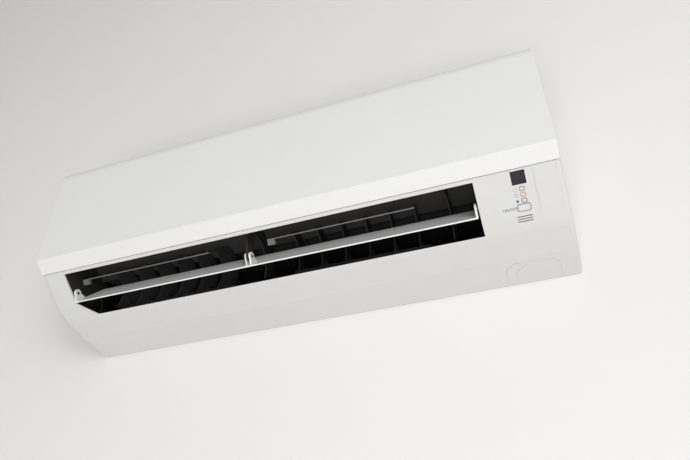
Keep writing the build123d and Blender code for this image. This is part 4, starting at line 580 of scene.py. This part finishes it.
def finish_piece(piece, body, finish):
    """Dresses the piece and lets it ride on its body."""
    piece.data.materials.clear()
    piece.data.materials.append(finish)
    only(piece)
    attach(piece, body)


# ---- coil fins ----
def fin_comb(name, corner, angle, length, finish):
    """Stack of thin rippled sheets in the place of one slab of the coil."""
    low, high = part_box(name)
    fin = flat_sheet(name + "_fins")
    place(fin, Matrix.Diagonal((FIN_DEPTH, length, 1.0, 1.0)))
    bpy.ops.object.mode_set(mode="EDIT")
    for strip in range(1, FIN_STRIPS):
        cut = -FIN_DEPTH / 2 + FIN_DEPTH * strip / FIN_STRIPS
        bpy.ops.mesh.select_all(action="SELECT")
        bpy.ops.mesh.bisect(plane_co=(cut, 0.0, 0.0), plane_no=(1.0, 0.0, 0.0))
    bpy.ops.object.mode_set(mode="OBJECT")
    crests = [-FIN_DEPTH / 2 + FIN_DEPTH * strip / FIN_STRIPS for strip in range(1, FIN_STRIPS, 2)]
    pick(fin, lambda point: any(abs(point.co.x - crest) < SAME_COLUMN for crest in crests), "VERT")
    bpy.ops.transform.translate(value=(0.0, 0.0, FIN_RIPPLE))
    bpy.ops.object.mode_set(mode="OBJECT")
    sheet = fin.modifiers.new("sheet", "SOLIDIFY")
    sheet.thickness = FIN_SHEET
    row = fin.modifiers.new("row", "ARRAY")
    row.count = int((high.x - low.x) / FIN_PITCH)
    row.use_relative_offset = False
    row.use_constant_offset = True
    row.constant_offset_displace = (0.0, 0.0, FIN_PITCH)
    apply_all(fin)
    run = Vector((0.0, cos(radians(angle)), sin(radians(angle))))
    across = Vector((0.0, cos(radians(angle - 90.0)), sin(radians(angle - 90.0))))
    origin = Vector((low.x + FIN_PITCH / 2, corner[0] * MM, (corner[1] - PLATE_CENTRE_HEIGHT) * MM))
    origin = origin + run * length / 2 + across * FIN_DEPTH / 2
    turn = Matrix((across, run, Vector((1.0, 0.0, 0.0)))).transposed().to_4x4()
    place(fin, Matrix.Translation(origin) @ turn)
    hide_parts(name)
    finish_piece(fin, "unit", finish)


# ---- printed marks on the control face ----
def control_face(x, run, proud):
    """Place on the control face: X to the right, Y up the face, Z out of it."""
    top = Vector((x, FACE_TOP_Y, FACE_TOP_HEIGHT - PLATE_CENTRE_HEIGHT))
    point = top * MM + FACE_DOWN * run * MM + FACE_OUT * proud * MM
    return Matrix.Translation(point) @ Matrix((FACE_ACROSS, -FACE_DOWN, FACE_OUT)).transposed().to_4x4()


def keep_outline(line):
    """Leaves a thin line along the edge of the flat mark that is being edited."""
    bpy.ops.mesh.inset(thickness=line * MM)
    bpy.ops.mesh.delete(type="FACE")
    bpy.ops.object.mode_set(mode="OBJECT")


def lay_ink(mark, x, run, finish):
    """Gives a flat mark the thickness of ink and lays it on the control face."""
    coat = mark.modifiers.new("coat", "SOLIDIFY")
    coat.thickness = INK_COAT * MM
    coat.offset = 1.0
    apply_all(mark)
    place(mark, control_face(x, run, INK_PROUD))
    finish_piece(mark, "unit", finish)


def ink_ring(name, x, run, width, length, line, corner, finish):
    """Printed outline of a rounded rectangle."""
    ring = flat_sheet(name)
    place(ring, Matrix.Diagonal((width * MM, length * MM, 1.0, 1.0)))
    pick(ring, lambda point: True, "VERT")
    bpy.ops.mesh.bevel(offset=corner * MM, segments=6, affect="VERTICES")
    bpy.ops.mesh.select_all(action="SELECT")
    keep_outline(line)
    lay_ink(ring, x, run, finish)


def ink_circle(name, x, run, radius, line, finish):
    """Printed circle drawn with a thin line."""
    bpy.ops.object.select_all(action="DESELECT")
    bpy.ops.mesh.primitive_circle_add(
        vertices=40, radius=radius * MM, fill_type="NGON", location=(0.0, 0.0, 0.0))
    circle = start_piece(name)
    pick(circle, lambda face: True)
    keep_outline(line)
    lay_ink(circle, x, run, finish)


def ink_bars(name, x, run, bars, finish):
    """Printed strokes, each from one point to another with a width."""
    strokes = []
    for (x0, y0), (x1, y1), width in bars:
        stroke = flat_sheet(name)
        start, end = Vector((x0, y0, 0.0)) * MM, Vector((x1, y1, 0.0)) * MM
        reach = end - start
        turn = Matrix.Rotation(-Vector((1.0, 0.0)).angle_signed(reach.xy, 0.0), 4, "Z")
        size = Matrix.Diagonal((reach.length + width * MM, width * MM, 1.0, 1.0))
        place(stroke, Matrix.Translation((start + end) / 2) @ turn @ size)
        strokes.append(stroke)
    only(strokes[0])
    for stroke in strokes:
        stroke.select_set(True)
    bpy.ops.object.join()
    lay_ink(start_piece(name), x, run, finish)


def ink_words(name, words, x, run, height, finish):
    """Printed lettering beside the button."""
    bpy.ops.object.select_all(action="DESELECT")
    bpy.ops.object.text_add(location=(0.0, 0.0, 0.0))
    lettering = bpy.context.active_object
    lettering.data.body = words
    lettering.data.size = height * FONT_OVER_CAPITAL * MM
    lettering.data.align_x = "CENTER"
    lettering.data.align_y = "CENTER"
    lettering.data.extrude = WORDS_EXTRUDE * MM
    bpy.ops.object.convert(target="MESH")
    lettering = start_piece(name)
    place(lettering, control_face(x, run, WORDS_PROUD))
    finish_piece(lettering, "unit", finish)


def print_marks():
    """Rings round the lamps, a mark beside each lamp, and the button's outline and words."""
    grey = printed_ink("ink_grey", (0.10, 0.10, 0.10))
    dark = printed_ink("ink_dark", (0.035, 0.035, 0.037))
    olive = printed_ink("ink_olive", (0.12, 0.14, 0.02))
    amber = printed_ink("ink_amber", (0.52, 0.24, 0.01))
    violet = printed_ink("ink_violet", (0.05, 0.045, 0.13))
    rings = (
        ("lamp_ring_top", 25.6, olive),
        ("lamp_ring_middle", 33.3, amber),
        ("lamp_ring_bottom", 41.0, violet),
    )
    for name, run, ink in rings:
        ink_ring(name, LAMP_X, run, width=6.9, length=6.1, line=0.72, corner=2.2, finish=ink)
    ink_circle("mark_run", MARK_X, 25.9, radius=2.5, line=THIN_LINE, finish=grey)
    ink_circle("mark_timer", MARK_X, 33.5, radius=2.5, line=THIN_LINE, finish=grey)
    hands = (((0, 0), (0, 1.5), THIN_LINE), ((0, 0), (1.1, 0.0), THIN_LINE))
    ink_bars("mark_timer_hands", MARK_X, 33.5, hands, grey)
    star = []
    for turn in (0.0, pi / 4, pi / 2, 3 * pi / 4):
        tip_x, tip_y = STAR_REACH * cos(turn), STAR_REACH * sin(turn)
        star.append(((-tip_x, -tip_y), (tip_x, tip_y), STAR_LINE))
    ink_bars("mark_star", MARK_X, 41.2, star, dark)
    ink_ring("button_outline", 332.5, 50.0, width=17.2, length=10.2, line=0.45, corner=2.9, finish=dark)
    ink_words("on_off_words", "ON/OFF", 314.8, 50.0, height=3.6, finish=dark)


# ---- wall and floor ----
def in_opening(face):
    """Whether a face of the wall lies behind the unit."""
    middle = face.calc_center_median()
    return abs(middle.x) < OPENING_SIDE and OPENING_FOOT < middle.z < OPENING_HEAD


def build_wall(finish):
    """Wall with an opening just inside the unit's outline, which the unit hides from the room."""
    wall = flat_sheet("wall", WALL_WIDTH)
    place(wall, Matrix.Translation((0.0, WALL_SETBACK, 0.0)) @ Matrix.Rotation(radians(90.0), 4, "X"))
    bpy.ops.object.mode_set(mode="EDIT")
    for side in (-OPENING_SIDE, OPENING_SIDE):
        bpy.ops.mesh.select_all(action="SELECT")
        bpy.ops.mesh.bisect(plane_co=(side, 0, 0), plane_no=(1, 0, 0))
    for level in (OPENING_FOOT, OPENING_HEAD):
        bpy.ops.mesh.select_all(action="SELECT")
        bpy.ops.mesh.bisect(plane_co=(0, 0, level), plane_no=(0, 0, 1))
    bpy.ops.object.mode_set(mode="OBJECT")
    pick(wall, in_opening)
    bpy.ops.mesh.delete(type="FACE")
    bpy.ops.object.mode_set(mode="OBJECT")
    wall.data.materials.append(finish)


def build_floor(finish):
    """Floor of the room, well below the unit."""
    floor = flat_sheet("floor", FLOOR_WIDTH)
    place(floor, Matrix.Translation((0.0, 0.0, FLOOR_HEIGHT)))
    floor.data.materials.append(finish)


def main():
    bpy.context.scene.view_settings.view_transform = "Standard"
    set_camera()
    set_light()
    finishes = make_finishes()
    dress_nodes(finishes)
    for name, corner, angle, length in COIL_SLABS:
        fin_comb(name, corner, angle, length, finishes["fin_aluminium"])
    print_marks()
    build_wall(wall_paint())
    build_floor(floor_paint())
    bpy.ops.object.select_all(action="DESELECT")


main()
